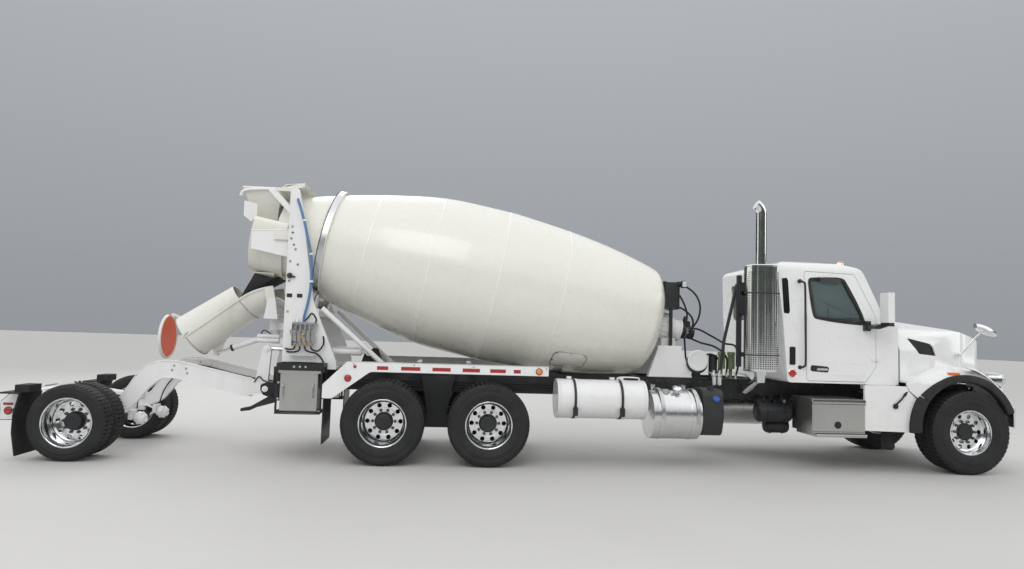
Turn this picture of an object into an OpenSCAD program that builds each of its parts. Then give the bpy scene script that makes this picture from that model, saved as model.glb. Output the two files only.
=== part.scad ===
// Concrete mixer truck with a trailing axle, rear discharge, modelled at full size in millimetres.
// X points forward, Y to the truck's left, Z up. Lengths along X are written from the middle of the
// tandem and moved at the end, so that the origin is under the middle of the whole truck.

/* [Axles and wheels] */
// Middle of the tandem to the front axle
wheelbase = 7170; // [6900:10:7400]
// Distance between the two driven axles
tandem_spacing = 1340; // [1300:10:1400]
// Middle of the tandem back to the trailing axle
booster_reach = 4430; // [4300:10:4500]
// Radius of the front tyres
front_tyre_r = 562; // [540:1:575]
// Width of the front tyres
front_tyre_w = 425; // [380:5:430]
// Radius of the driven tyres
drive_tyre_r = 527; // [505:1:535]
// Width of one driven tyre
drive_tyre_w = 279; // [260:1:290]
// Radius of the trailing axle's tyres
booster_tyre_r = 460; // [440:1:470]
// Width of one trailing tyre
booster_tyre_w = 255; // [235:1:260]
// Radius of the rims over their lips
rim_r = 298.5; // [290:0.5:300]
// Thickness of a rim's barrel
rim_wall = 14; // [10:1:18]
// Half of the overall width over the front tyres
front_half_w = 1250; // [1230:1:1260]
// Half of the overall width over the driven tyres
drive_half_w = 1200; // [1180:1:1215]
// Half of the overall width over the trailing tyres
booster_half_w = 1190; // [1170:1:1200]
// Radius of the wheel spindles
spindle_r = 45; // [38:1:52]
// Distance of the steering pins from the middle
kingpin_y = 880; // [860:1:900]

/* [Frame] */
// Outside of the frame rails, from the middle
rail_y = 430; // [425:1:435]
// Height of the rails' top face
rail_top = 1160; // [1140:1:1180]
// Height of one rail
rail_h = 280; // [260:5:300]
// Width of a rail's flanges
rail_flange = 90; // [80:1:95]
// Thickness of a rail
rail_wall = 12; // [8:1:14]
// Rear end of the rails
rail_rear_x = -2200; // [-2220:5:-2150]
// Reach of the rails past the front axle
rail_front_reach = 600; // [580:5:610]

/* [Cab] */
// Half width of the cab
cab_half_w = 1030; // [1010:1:1040]
// Thickness of the cab's walls
cab_wall = 60; // [45:1:70]
// Clearance round a door
door_gap = 6; // [5:0.5:9]
// Thickness of the glass
glass_t = 6; // [5:0.5:8]

/* [Hood] */
// Thickness of the hood's moulding
hood_wall = 26; // [20:1:35]
// Radius of the front wheel arches
arch_r = 640; // [630:1:650]
// Width of the rubber flare round an arch
flare_w = 78; // [60:1:90]

/* [Drum] */
// Slope of the drum's axis, rising towards the rear
drum_tilt = 11.5; // [10:0.5:13]
// Largest radius of the drum
drum_r = 1090; // [1060:5:1110]
// Thickness of the drum's shell
drum_wall = 9; // [6:1:12]
// Radius of the ring that runs on the rollers
ring_r = 800; // [795:1:810]
// Width of that ring
ring_w = 90; // [80:5:100]
// Radius of a drum roller
roller_r = 125; // [115:1:130]
// Angle of the rollers from the bottom of the ring
roller_angle = 32; // [30:1:34]

/* [Chutes] */
// Inner radius of the main chute's trough
trough_r = 300; // [280:5:310]
// Thickness of the troughs
trough_wall = 8; // [6:1:12]
// Slope of the main chute as it is stowed
chute_slope = 37.8; // [34:0.2:40]
// Length of the extension chute that folds over
fold_length = 860; // [800:10:880]
// Radius of the hanging end flap
flap_r = 300; // [270:1:305]

/* [Trailing axle] */
// Thickness of a trailing arm
arm_t = 60; // [50:1:64]
// Distance of a trailing arm's middle plane from the middle
arm_y = 500; // [495:1:505]

/* [Tanks and boxes] */
// Radius of the fuel tanks
fuel_tank_r = 320; // [300:5:330]
// Radius of the water tank
water_tank_r = 255; // [240:5:265]

/* [Hidden] */
$fn = 48;

// Clearances: between parts that touch, round a turning shaft, and between parts that move
seat_gap = 0.3;
shaft_gap = 0.05;
run_gap = 6;

// The ends of the whole truck, and the shift that brings its middle over the origin
booster_x = -booster_reach;
lamp_plate_x = booster_x - 900;
// The cab, the hood and the bumper are drawn for this wheelbase and move with the front axle
drawn_wheelbase = 7170;
bumper_front_x = drawn_wheelbase + 790;
mid_x = (wheelbase + 790 + lamp_plate_x) / 2;

front_tyre_y = front_half_w - front_tyre_w / 2;
dual_gap = 61;
drive_mid_y = drive_half_w - drive_tyre_w - dual_gap / 2;
booster_mid_y = booster_half_w - booster_tyre_w - dual_gap / 2;
rail_bottom = rail_top - rail_h;

// Helpers for outlines: rows of [x, y, corner radius], anticlockwise
function unit(v) = v / norm(v);
function corner(a, p, b, r, n) =
    let (u = unit(a - p), v = unit(b - p), half = acos(u * v) / 2, t = r / tan(half),
         c = p + unit(u + v) * r / sin(half), s = p + u * t, e = p + v * t,
         a0 = atan2(s.y - c.y, s.x - c.x), turn0 = atan2(e.y - c.y, e.x - c.x) - a0,
         turn = turn0 > 180 ? turn0 - 360 : turn0 < -180 ? turn0 + 360 : turn0)
    [for (i = [0 : n]) c + r * [cos(a0 + turn * i / n), sin(a0 + turn * i / n)]];
function soft(rows, n = 5) =
    let (m = len(rows))
    [for (i = [0 : m - 1])
        let (a = rows[(i + m - 1) % m], p = rows[i], b = rows[(i + 1) % m])
        each (p[2] == 0 ? [[p.x, p.y]] : corner([a.x, a.y], [p.x, p.y], [b.x, b.y], p[2], n))];
function inset(rows, d) =
    let (m = len(rows))
    [for (i = [0 : m - 1])
        let (a = rows[(i + m - 1) % m], p = rows[i], b = rows[(i + 1) % m],
             u = unit([p.x - a.x, p.y - a.y]), v = unit([b.x - p.x, b.y - p.y]),
             n1 = [-u.y, u.x], n2 = [-v.y, v.x], w = unit(n1 + n2), k = d / (w * n1),
             convex = u.x * v.y - u.y * v.x > 0,
             r = p[2] == 0 ? 0 : convex ? max(p[2] - d, 1) : p[2] + d)
        [p.x + w.x * k, p.y + w.y * k, r]];

// Solids from an outline in X-Z between two Y, in Y-Z between two X, and simple shapes
module side_plate(y0, y1) translate([0, y1, 0]) rotate([90, 0, 0]) linear_extrude(y1 - y0) children();
module cross_plate(x0, x1) translate([x0, 0, 0]) rotate([90, 0, 90]) linear_extrude(x1 - x0) children();
module block(a, b) translate(a) cube(b - a);
module both_sides() {
    children();
    mirror([0, 1, 0]) children();
}
module on_side(s) {
    if (s > 0) children();
    else mirror([0, 1, 0]) children();
}
module disc_y(x, z, y0, y1, r) translate([x, y1, z]) rotate([90, 0, 0]) cylinder(r = r, h = y1 - y0);
module rod(p, q, r) {
    v = q - p;
    translate(p) rotate([0, acos(v.z / norm(v)), atan2(v.y, v.x)]) cylinder(r = r, h = norm(v));
}
module truck() translate([-mid_x, 0, 0]) children();
module front_end() translate([wheelbase - drawn_wheelbase, 0, 0]) children();

// Wheels

// Tyre section as [radius, across, corner radius]; across runs over half the width
function tyre_rows(r, w, bead) = [
    [bead, -w * 0.36, 0], [bead + (r - bead) * 0.45, -w / 2, 40], [r - 22, -w * 0.46, 26],
    [r, -w * 0.36, 0], [r, w * 0.36, 0], [r - 22, w * 0.46, 26],
    [bead + (r - bead) * 0.45, w / 2, 40], [bead, w * 0.36, 0]];
module tyre(x, y, r, w)
    translate([x, y, r]) rotate([90, 0, 0])
        rotate_extrude($fn = 64) polygon(soft(tyre_rows(r, w, rim_r + seat_gap), 2));
module wheel_bores(n, pitch_r, r, y0, y1)
    for (i = [0 : n - 1]) rotate([0, i * 360 / n, 0]) disc_y(pitch_r, 0, y0, y1, r);
module lug_nuts(y0, y1)
    for (i = [0 : 9]) rotate([0, i * 36 + 18, 0])
        translate([143, y1, 0]) rotate([90, 0, 0]) cylinder(r = 19, h = y1 - y0, $fn = 6);

// One wide wheel: barrel, disc at disc_y0, hub out to hub_y1, all measured from the tyre's middle
module single_rim(x, y, r) {
    barrel_half = front_tyre_w * 0.39;
    disc_in = 36;
    disc_out = 58;
    translate([x, y, r]) difference() {
        union() {
            difference() {
                disc_y(0, 0, -barrel_half, barrel_half, rim_r);
                disc_y(0, 0, -barrel_half - 1, disc_in, rim_r - rim_wall);
                disc_y(0, 0, disc_out, barrel_half + 1, rim_r - rim_wall);
                wheel_bores(10, 215, 22, disc_in - 1, disc_out + 1);
            }
            disc_y(0, 0, -60, 96, 96);
            lug_nuts(disc_out - 1, 84);
        }
        disc_y(0, 0, -61, 60, spindle_r);
    }
}
// Two wheels on one hub: discs meet in the middle of the pair
module dual_rim(x, y, r, tyre_w) {
    reach = dual_gap / 2 + tyre_w * 0.9;
    disc_half = 24;
    translate([x, y, r]) difference() {
        union() {
            difference() {
                disc_y(0, 0, -reach, reach, rim_r);
                disc_y(0, 0, -reach - 1, -disc_half, rim_r - rim_wall);
                disc_y(0, 0, disc_half, reach + 1, rim_r - rim_wall);
                wheel_bores(10, 215, 24, -disc_half - 1, disc_half + 1);
            }
            disc_y(0, 0, -90, 130, 102);
            lug_nuts(disc_half - 1, 52);
        }
        disc_y(0, 0, -91, 90, spindle_r);
    }
}
module front_tyre(s) color("#222426") on_side(s) tyre(wheelbase, front_tyre_y, front_tyre_r, front_tyre_w);
module front_rim(s) color("#d8dadc") on_side(s) single_rim(wheelbase, front_tyre_y, front_tyre_r);
module tyre_pair(x, s, mid_y, r, w)
    color("#222426") on_side(s) for (k = [-1, 1]) tyre(x, mid_y + k * (w + dual_gap) / 2, r, w);
module drive_tyres(x, s) tyre_pair(x, s, drive_mid_y, drive_tyre_r, drive_tyre_w);
module drive_rims(x, s) color("#d8dadc") on_side(s) dual_rim(x, drive_mid_y, drive_tyre_r, drive_tyre_w);
module booster_tyres(s) tyre_pair(-booster_reach, s, booster_mid_y, booster_tyre_r, booster_tyre_w);
module booster_rims(s)
    color("#d8dadc") on_side(s) dual_rim(-booster_reach, booster_mid_y, booster_tyre_r, booster_tyre_w);

// Chassis

rail_rows = [[rail_y - rail_flange, rail_bottom, 0], [rail_y, rail_bottom, 0], [rail_y, rail_top, 0],
             [rail_y - rail_flange, rail_top, 0], [rail_y - rail_flange, rail_top - rail_wall, 0],
             [rail_y - rail_wall, rail_top - rail_wall, 0], [rail_y - rail_wall, rail_bottom + rail_wall, 0],
             [rail_y - rail_flange, rail_bottom + rail_wall, 0]];
// Cross members as [x, height of their top, depth]
cross_members = [[-2150, 1140, 240], [-670, 1140, 120], [0, 1140, 220], [670, 1140, 120], [1700, 1140, 180],
                 [2900, 1140, 180], [4400, 1140, 180], [7700, 1110, 180]];
// The trailing axle hangs on a pin behind the rails
pivot_x = -2270;
pivot_z = 870;
pivot_r = 32;
// Anchor of its lift cylinders
cyl_x = -950;
cyl_z = 1380;
cyl_y = 440;
arm_slot = arm_t / 2 + run_gap;
pivot_plate_t = 26;
pivot_plate_rows = [[-2330, 860, 30], [-2290, 790, 20], [-2120, 740, 0], [-1950, 740, 0], [-1950, 900, 0],
                    [-2240, 960, 30], [-2330, 930, 30]];
module chassis_frame() color("#1c1d1f") {
    both_sides() {
        cross_plate(rail_rear_x, wheelbase + rail_front_reach) polygon(soft(rail_rows));
        for (y = [arm_y - arm_slot - pivot_plate_t, arm_y + arm_slot])
            side_plate(y, y + pivot_plate_t) difference() {
                polygon(soft(pivot_plate_rows));
                translate([pivot_x, pivot_z]) circle(r = 20);
            }
        // Anchor of the lift cylinders of the trailing axle
        side_plate(rail_y - 36, rail_y - 14)
            polygon(soft([[cyl_x - 130, rail_top, 0], [cyl_x + 130, rail_top, 0], [cyl_x + 45, cyl_z + 45, 40],
                          [cyl_x - 45, cyl_z + 45, 40]]));
        disc_y(cyl_x, cyl_z, rail_y - 36, cyl_y + 24, 22 - shaft_gap);
        // Pin of the trailing axle, and the floor that joins its two plates below the arm
        disc_y(pivot_x, pivot_z, arm_y - arm_slot - pivot_plate_t, arm_y + arm_slot + pivot_plate_t,
               pivot_r - shaft_gap);
        block([-2110, rail_y - rail_wall, 722], [-1950, arm_y + arm_slot + pivot_plate_t, 742]);
        block([-2110, rail_y - rail_wall, 722], [-1950, rail_y, rail_bottom + rail_wall]);
        // Step arm below the pivot
        side_plate(arm_y + arm_slot, arm_y + arm_slot + 60)
            polygon(soft([[-2560, 575, 8], [-2440, 590, 0], [-2180, 722, 0], [-2110, 722, 0], [-2110, 760, 0],
                          [-2190, 790, 0], [-2440, 640, 0], [-2560, 615, 8]]));
    }
    for (m = cross_members) block([m[0] - 50, rail_wall - rail_y, m[1] - m[2]], [m[0] + 50, rail_y - rail_wall, m[1]]);
}

// Front axle: drop beam with eyes for the steering pins, and two leaf springs under the rails
beam_z = front_tyre_r;
beam_eye_h = 84;
beam_rows = [[-kingpin_y, beam_z - beam_eye_h / 2, 0], [-790, beam_z - beam_eye_h / 2, 0], [-620, 440, 60],
             [620, 440, 60], [790, beam_z - beam_eye_h / 2, 0], [kingpin_y, beam_z - beam_eye_h / 2, 0], [kingpin_y, beam_z + beam_eye_h / 2, 0],
             [620, 540, 60], [-620, 540, 60], [-kingpin_y, beam_z + beam_eye_h / 2, 0]];
spring_eye_front = wheelbase + 500;
spring_eye_rear = wheelbase - 700;
spring_rows = [[spring_eye_rear, 690, 0], [wheelbase - 420, 592, 80], [wheelbase - 90, 540, 0],
               [wheelbase + 90, 540, 0], [wheelbase + 300, 592, 80], [spring_eye_front, 690, 0],
               [spring_eye_front, 708, 0], [wheelbase + 300, 640, 80], [wheelbase, 625, 0],
               [wheelbase - 420, 640, 80], [spring_eye_rear, 708, 0]];
module front_axle() color("#232427") {
    difference() {
        union() {
            cross_plate(wheelbase - 45, wheelbase + 45) polygon(soft(beam_rows));
            both_sides() translate([wheelbase, kingpin_y, beam_z - beam_eye_h / 2]) cylinder(r = 58, h = beam_eye_h);
        }
        both_sides() translate([wheelbase, kingpin_y, beam_z - beam_eye_h]) cylinder(r = 27, h = 2 * beam_eye_h);
    }
    both_sides() {
        side_plate(rail_y - rail_flange + 8, rail_y - 8) polygon(soft(spring_rows));
        for (x = [spring_eye_front, spring_eye_rear]) {
            disc_y(x, 699, rail_y - rail_flange + 8, rail_y - 8, 34);
            side_plate(rail_y - rail_flange, rail_y)
                polygon([[x - 28, 700], [x + 28, 700], [x + 60, rail_bottom], [x - 60, rail_bottom]]);
        }
    }
}

// Knuckle: yoke over the beam's eye, steering pin and spindle
module knuckle(s) color("#2b2d30") on_side(s) {
    pin_r = 27 - shaft_gap;
    ear = 38;
    translate([wheelbase, kingpin_y, 0]) {
        translate([0, 0, beam_z - beam_eye_h / 2 - ear]) cylinder(r = pin_r, h = beam_eye_h + 2 * ear);
        for (z = [beam_z - beam_eye_h / 2 - ear - 1, beam_z + beam_eye_h / 2 + 1]) {
            translate([0, 0, z]) cylinder(r = 52, h = ear);
            block([-52, 0, z], [52, 84, z + ear]);
        }
        block([-60, 62, beam_z - beam_eye_h / 2 - ear - 1], [60, 84, beam_z + beam_eye_h / 2 + ear + 1]);
        block([-230, -30, beam_z - 119], [-40, 10, beam_z - 80]);
    }
    disc_y(wheelbase, beam_z, kingpin_y + 80, front_tyre_y + 50, spindle_r - shaft_gap);
}

// Driven axles on walking beams
axle_tube_r = 78;
beam_y0 = 470;
beam_y1 = 540;
walking_rows = [[-760, 340, 40], [-560, 340, 60], [-180, 410, 60], [180, 410, 60], [560, 340, 60], [760, 340, 40],
                [760, 480, 40], [540, 490, 60], [200, 580, 60], [-200, 580, 60], [-540, 490, 60], [-760, 480, 40]];
module drive_axles() color("#232427") {
    for (x = [-tandem_spacing / 2, tandem_spacing / 2]) translate([x, 0, drive_tyre_r]) {
        rod([0, 90 - drive_mid_y, 0], [0, drive_mid_y - 90 - 2, 0], axle_tube_r);
        rod([0, -drive_mid_y - 84, 0], [0, drive_mid_y + 84, 0], spindle_r - shaft_gap);
        translate([0, 0, 10]) sphere(r = 205);
        translate([60, 0, 0]) rotate([0, 90, 0]) cylinder(r = 105, h = 230);
    }
    both_sides() {
        side_plate(beam_y0, beam_y1) polygon(soft(walking_rows));
        side_plate(rail_y + seat_gap, beam_y1)
            polygon([[-120, 570], [120, 570], [230, rail_top - 60], [-230, rail_top - 60]]);
    }
}

module engine() color("#3a3c3e") {
    block([6330, -320, 690], [7380, 320, 1690]);
    block([5300, -240, 740], [6330, 240, 1090]);
    block([7450, -320, 860], [7530, 320, 1640]);
    // Feet on the rails' lower flanges
    both_sides() for (x = [6480, 7450]) block([x, 300, rail_bottom + rail_wall], [x + 80, 400, 940]);
}

// Hinge of the hood, behind the bumper
hood_pin_x = 7806;
hood_pin_z = 950;
// Chrome bumper, bent back at its ends
bumper_rows = [[bumper_front_x - 130, -1180, 10], [bumper_front_x - 100, -1180, 10],
               [bumper_front_x, -760, 300], [bumper_front_x, 760, 300], [bumper_front_x - 100, 1180, 10],
               [bumper_front_x - 130, 1180, 10], [bumper_front_x - 34, 750, 270], [bumper_front_x - 34, -750, 270]];
plate_hole_r = 3.5;
plate_hole_y = 90;
plate_hole_z = 765;
module bumper() color("#d9dbdd") {
    difference() {
        translate([0, 0, 640]) linear_extrude(250) polygon(soft(bumper_rows));
        for (y = [-plate_hole_y, plate_hole_y])
            rod([bumper_front_x - 60, y, plate_hole_z], [bumper_front_x + 1, y, plate_hole_z], plate_hole_r);
    }
    // Brackets beside the rails
    both_sides() side_plate(rail_y + seat_gap, rail_y + 22)
        polygon(soft([[7620, 890, 0], [bumper_front_x - 33, 690, 0], [bumper_front_x - 33, 840, 0], [7830, 890, 0],
                      [7826, 970, 18], [7786, 970, 18], [7770, 950, 0], [7620, 950, 0]]));
    // Pins of the hood's hinge
    both_sides() disc_y(hood_pin_x, hood_pin_z, rail_y + seat_gap, 480, 12 - shaft_gap);
}

// Cab

cab_floor = rail_top + 5 + cab_wall;
// Side view as [x, z, corner radius]
cab_side = [[4690, rail_top + 5, 50], [6272, rail_top + 5, 10], [6272, 1960, 30], [6090, 2030, 60],
            [5800, 2745, 160], [5250, 2870, 400], [4820, 2860, 200], [4560, 2770, 90]];
// Front view, right half of the outline mirrored to the left
cab_front_half = [[cab_half_w, rail_top - 200, 0], [cab_half_w, 2060, 300], [cab_half_w - 100, 2800, 130],
                  [420, 2885, 500]];
cab_front = concat(cab_front_half, [for (i = [len(cab_front_half) - 1 : -1 : 0])
    [-cab_front_half[i][0], cab_front_half[i][1], cab_front_half[i][2]]]);
door_side = [[4955, 1190, 50], [5800, 1190, 30], [5950, 1400, 60], [5950, 2090, 60], [5690, 2670, 60],
             [4955, 2690, 50]];
window_side = [[5070, 2060, 50], [5810, 1960, 70], [5520, 2590, 60], [5010, 2585, 50]];
windscreen_front = [[-880, 2090, 60], [880, 2090, 60], [800, 2660, 80], [-800, 2660, 80]];
rear_window_front = [[-640, 2020, 60], [640, 2020, 60], [620, 2560, 60], [-620, 2560, 60]];
module cab_volume(d)
    intersection() {
        side_plate(-cab_half_w - 70, cab_half_w + 70) polygon(soft(inset(cab_side, d)));
        cross_plate(4400, 6400) polygon(soft(inset(cab_front, d)));
    }
module cab_skin(d0, d1) difference() {
    cab_volume(d0);
    cab_volume(d1);
}
module beside(s, rows) on_side(s) side_plate(cab_half_w - 170, cab_half_w + 170) polygon(soft(rows));
// Space of a door, shrunk by d; the cab's floor stays outside it
module door_space(s, d) difference() {
    beside(s, inset(door_side, d));
    on_side(s) block([4600, 800, 1100], [6400, cab_half_w - cab_wall - 2 + d, cab_floor + 2 + d]);
}
// Door hinges: knuckles outside the skin, the middle one on the door
hinge_x0 = 5962;
hinge_y0 = cab_half_w + 14;
hinge_zs = [1470, 1950];
module door_knuckle(z0, z1, x0, x1) {
    translate([hinge_x0, hinge_y0, z0]) cylinder(r = 12, h = z1 - z0);
    block([x0, cab_half_w + 0.5, z0], [x1, hinge_y0 - 2, z1]);
    block([x0, cab_half_w - 1, z0], [x0 + 40, cab_half_w + 1, z1]);
}
module windscreen_cut(d) cross_plate(5650, 6500) polygon(soft(inset(windscreen_front, d)));
module rear_window_cut(d) cross_plate(4400, 4800) polygon(soft(inset(rear_window_front, d)));
// Quarter panel below the hood's seam, up to the wheel arch
cowl_side = [[5690, 560, 10], [6460, 545, 0], [6460, 700, 0], [6440, 985, 0], [6305, 1100, 50], [6292, 1158, 0],
             [5690, 1158, 10]];
arch_x = 7100;
arch_z = 600;
module arch_cut(r, y0, y1) translate([arch_x, y1, arch_z]) rotate([90, 0, 0]) cylinder(r = r, h = y1 - y0, $fn = 96);
module cab_shell() color("#f2f2ef") {
    difference() {
        cab_skin(0, cab_wall);
        for (s = [-1, 1]) door_space(s, 0);
        windscreen_cut(0);
        rear_window_cut(0);
    }
    both_sides() {
        difference() {
            side_plate(1150, 1182) polygon(soft(cowl_side));
            arch_cut(arch_r + flare_w - 12, 1100, 1300);
        }
        block([5800, 900, 1100], [6240, 1150, 1158]);
        block([5800, 900, 1158], [6240, cab_half_w - 5, rail_top + 5]);
        // Rubber flare on the quarter panel
        difference() {
            arch_cut(arch_r + flare_w, 1150, 1236);
            arch_cut(arch_r, 1100, 1300);
            block([5000, 1100, 985], [8400, 1300, 1800]);
            block([arch_x, 1100, -300], [8400, 1300, 1800]);
            block([5000, 1100, -300], [8400, 1300, 556]);
        }
    }
    both_sides() for (z = hinge_zs) {
        door_knuckle(z, z + 14.7, hinge_x0 + 2, 6006);
        door_knuckle(z + 45.3, z + 60, hinge_x0 + 2, 6006);
        translate([hinge_x0, hinge_y0, z]) cylinder(r = 7 - shaft_gap, h = 60);
    }
    // Cab mounts on the rails
    for (x = [4900, 6050]) both_sides() block([x - 60, 340, rail_top], [x + 60, 430, rail_top + 5]);
}
module cab_glass() color("#2a3436") {
    intersection() {
        cab_skin(20, 20 + glass_t);
        union() {
            windscreen_cut(seat_gap);
            rear_window_cut(seat_gap);
        }
    }
}
module door(s) color("#f2f2ef") difference() {
    union() {
        intersection() {
            cab_skin(0, cab_wall);
            door_space(s, door_gap);
        }
        on_side(s) for (z = hinge_zs) door_knuckle(z + 15, z + 45, 5880, hinge_x0 - 2);
    }
    beside(s, window_side);
    on_side(s) for (z = hinge_zs) translate([hinge_x0, hinge_y0, z]) cylinder(r = 7, h = 60);
}
module door_glass(s) color("#2a3436") intersection() {
    cab_skin(22, 22 + glass_t);
    beside(s, inset(window_side, seat_gap));
}

// Seats, dashboard and steering wheel
module cab_interior() color("#4a4c4f") {
    for (y = [-480, 480]) {
        side_plate(y - 250, y + 250)
            polygon(soft([[4980, cab_floor, 0], [5380, cab_floor, 0], [5420, 1560, 30], [5480, 1700, 50],
                          [5010, 1670, 60], [4880, 2330, 50], [4790, 2320, 40], [4860, 1640, 60]]));
    }
    side_plate(60 - 900, 900 - 60)
        polygon(soft([[5980, 1560, 40], [6211.7, 1500, 0], [6211.7, 1900, 30], [6080, 1945, 40], [5900, 1880, 50]]));
    translate([5640, 480, 1960]) rotate([0, -62, 0]) {
        rotate_extrude() translate([215, 0]) circle(r = 17, $fn = 24);
        for (a = [0, 120, 240]) rotate([0, 0, a]) block([0, -18, -8], [215, 18, 8]);
        translate([0, 0, -330]) cylinder(r = 32, h = 340);
    }
}

// Mirror on a door, with its bracket
module mirror_unit(s) color("#f4f4f2") on_side(s) {
    mirror_rows = [[5860, 1250, 12], [5990, 1262, 50], [6000, 1400, 50], [5875, 1425, 12]];
    translate([0, 0, 2000]) linear_extrude(400) polygon(soft(mirror_rows));
    translate([0, 0, 1955]) linear_extrude(46) polygon(soft(inset(mirror_rows, 8)));
    block([5760, cab_half_w + seat_gap, 1890], [5840, cab_half_w + 60, 2025]);
    side_plate(cab_half_w + 60, 1300) polygon(soft([[5775, 1915, 10], [5835, 1915, 0], [5950, 1956, 0], [5950, 1990, 0],
                                                   [5880, 1990, 0], [5775, 1960, 10]]));
}

// Hood with its fenders; it tips forward about a pin behind the bumper
hood_side = [[6180, 500, 0], [7830, 500, 0], [7822, 1640, 0], [7790, 1735, 70], [7590, 1835, 200], [7210, 1950, 500],
             [6620, 2040, 500], [6180, 2085, 0]];
hood_front_half = [[1030, 400, 0], [1030, 1640, 100], [905, 1895, 200], [430, 2075, 400]];
hood_front = concat(hood_front_half, [for (i = [len(hood_front_half) - 1 : -1 : 0])
    [-hood_front_half[i][0], hood_front_half[i][1], hood_front_half[i][2]]]);
hood_plan = [[6180, -1040, 0], [6700, -1030, 600], [7640, -760, 160], [7840, -520, 160], [7840, 520, 160],
             [7640, 760, 160], [6700, 1030, 600], [6180, 1040, 0]];
module hood_volume(d) intersection() {
    side_plate(-1100, 1100) polygon(soft(inset(hood_side, d)));
    cross_plate(6180, 7900) polygon(soft(inset(hood_front, d)));
    translate([0, 0, 400]) linear_extrude(2000) polygon(soft(inset(hood_plan, d)));
}
fender_side = [[6180, 500, 0], [7790, 500, 0], [7810, 1180, 60], [7740, 1398, 60], [7300, 1430, 200], [6800, 1420, 200],
               [6440, 1300, 200], [6180, 1180, 0]];
fender_front = [[560, 400, 0], [1226, 400, 0], [1226, 1200, 60], [1150, 1345, 120], [960, 1440, 60], [560, 1440, 0]];
fender_plan = [[6180, 560, 0], [7850, 560, 0], [7850, 900, 100], [7690, 1226, 160], [6500, 1226, 300], [6180, 1150, 0]];
module fender_volume(d) intersection() {
    side_plate(0, 1300) polygon(soft(inset(fender_side, d)));
    cross_plate(6180, 7900) polygon(soft(inset(fender_front, d)));
    translate([0, 0, 400]) linear_extrude(1400) polygon(soft(inset(fender_plan, d)));
}
// Seam between the hood and the fixed quarter panel, as an area that belongs to the cab side
hood_seam = [[6000, 400, 0], [7100, 400, 0], [7100, 985 + run_gap, 0], [6452, 985 + run_gap, 0], [6316, 1106, 50],
             [6296, 1180, 0], [6296, 2400, 0], [6000, 2400, 0]];
grille_y = 500;
headlamp_rows = [[7400, 1190, 30], [7700, 1185, 0], [7900, 1185, 0], [7900, 1385, 0], [7480, 1372, 60]];
vent_side = [[6450, 1815, 10], [6570, 1600, 40], [6860, 1575, 10], [6780, 1740, 40]];
module hood() color("#f2f2ef") {
    difference() {
        union() {
            hood_volume(0);
            both_sides() fender_volume(0);
        }
        hood_volume(hood_wall);
        both_sides() fender_volume(hood_wall);
        side_plate(-1300, 1300) polygon(soft(hood_seam));
        both_sides() arch_cut(arch_r, 700, 1400);
        // Open below, grille and headlamp openings
        block([6900, -700, 300], [7900, 700, 985]);
        block([6900, -1300, 300], [7900, 1300, 850]);
        cross_plate(7700, 7900) polygon(soft([[-grille_y, 1060, 60], [grille_y, 1060, 60], [grille_y - 30, 1600, 80],
                                              [30 - grille_y, 1600, 80]]));
        both_sides() cross_plate(7560, 7900)
            polygon(soft([[720, 1180, 30], [1090, 1180, 60], [1060, 1340, 60], [720, 1370, 40]]));
        both_sides() side_plate(880, 1100) polygon(soft(vent_side));
    }
    // Hinge ears inside the nose
    both_sides() difference() {
        side_plate(456, 476) polygon(soft([[7784, 928, 20], [7828, 928, 20], [7818, 1056, 0], [7798, 1056, 0], [7784, 1000, 0]]));
        disc_y(hood_pin_x, hood_pin_z, 440, 500, 12);
    }
    both_sides() difference() {
        arch_cut(arch_r + flare_w, 1196, 1240);
        arch_cut(arch_r, 1100, 1300);
        block([5000, 1100, -300], [arch_x, 1300, 985 + run_gap]);
        block([arch_x, 1100, -300], [8400, 1300, 850]);
    }
}
// Slatted grille, headlamps and side vent grids
module grille_and_lamps() color("#b9bcbf") {
    intersection() {
        cross_plate(7785, 7840) polygon(soft([[seat_gap - grille_y, 1060 + seat_gap, 60],
            [grille_y - seat_gap, 1060 + seat_gap, 60], [grille_y - 30 - seat_gap, 1600 - seat_gap, 80],
            [30 + seat_gap - grille_y, 1600 - seat_gap, 80]]));
        hood_volume(2);
        difference() {
            union() {
                for (z = [1070 : 52 : 1600]) block([7798, -600, z], [7840, 600, z + 26]);
                for (y = [-450 : 225 : 450]) block([7790, y - 10, 1000], [7820, y + 10, 1700]);
                difference() {
                    block([7790, -600, 1000], [7840, 600, 1700]);
                    block([7700, 40 - grille_y, 1100], [7900, grille_y - 40, 1560]);
                }
            }
        }
    }
    both_sides() difference() {
        intersection() {
            fender_volume(3);
            cross_plate(7570, 7900) polygon(soft([[720 + seat_gap, 1180 + seat_gap, 30], [1090 - seat_gap, 1180 + seat_gap, 60],
                [1060 - seat_gap, 1340 - seat_gap, 60], [720 + seat_gap, 1370 - seat_gap, 40]]));
        }
        hood_volume(-2);
    }
}

// Tanks and boxes

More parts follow.
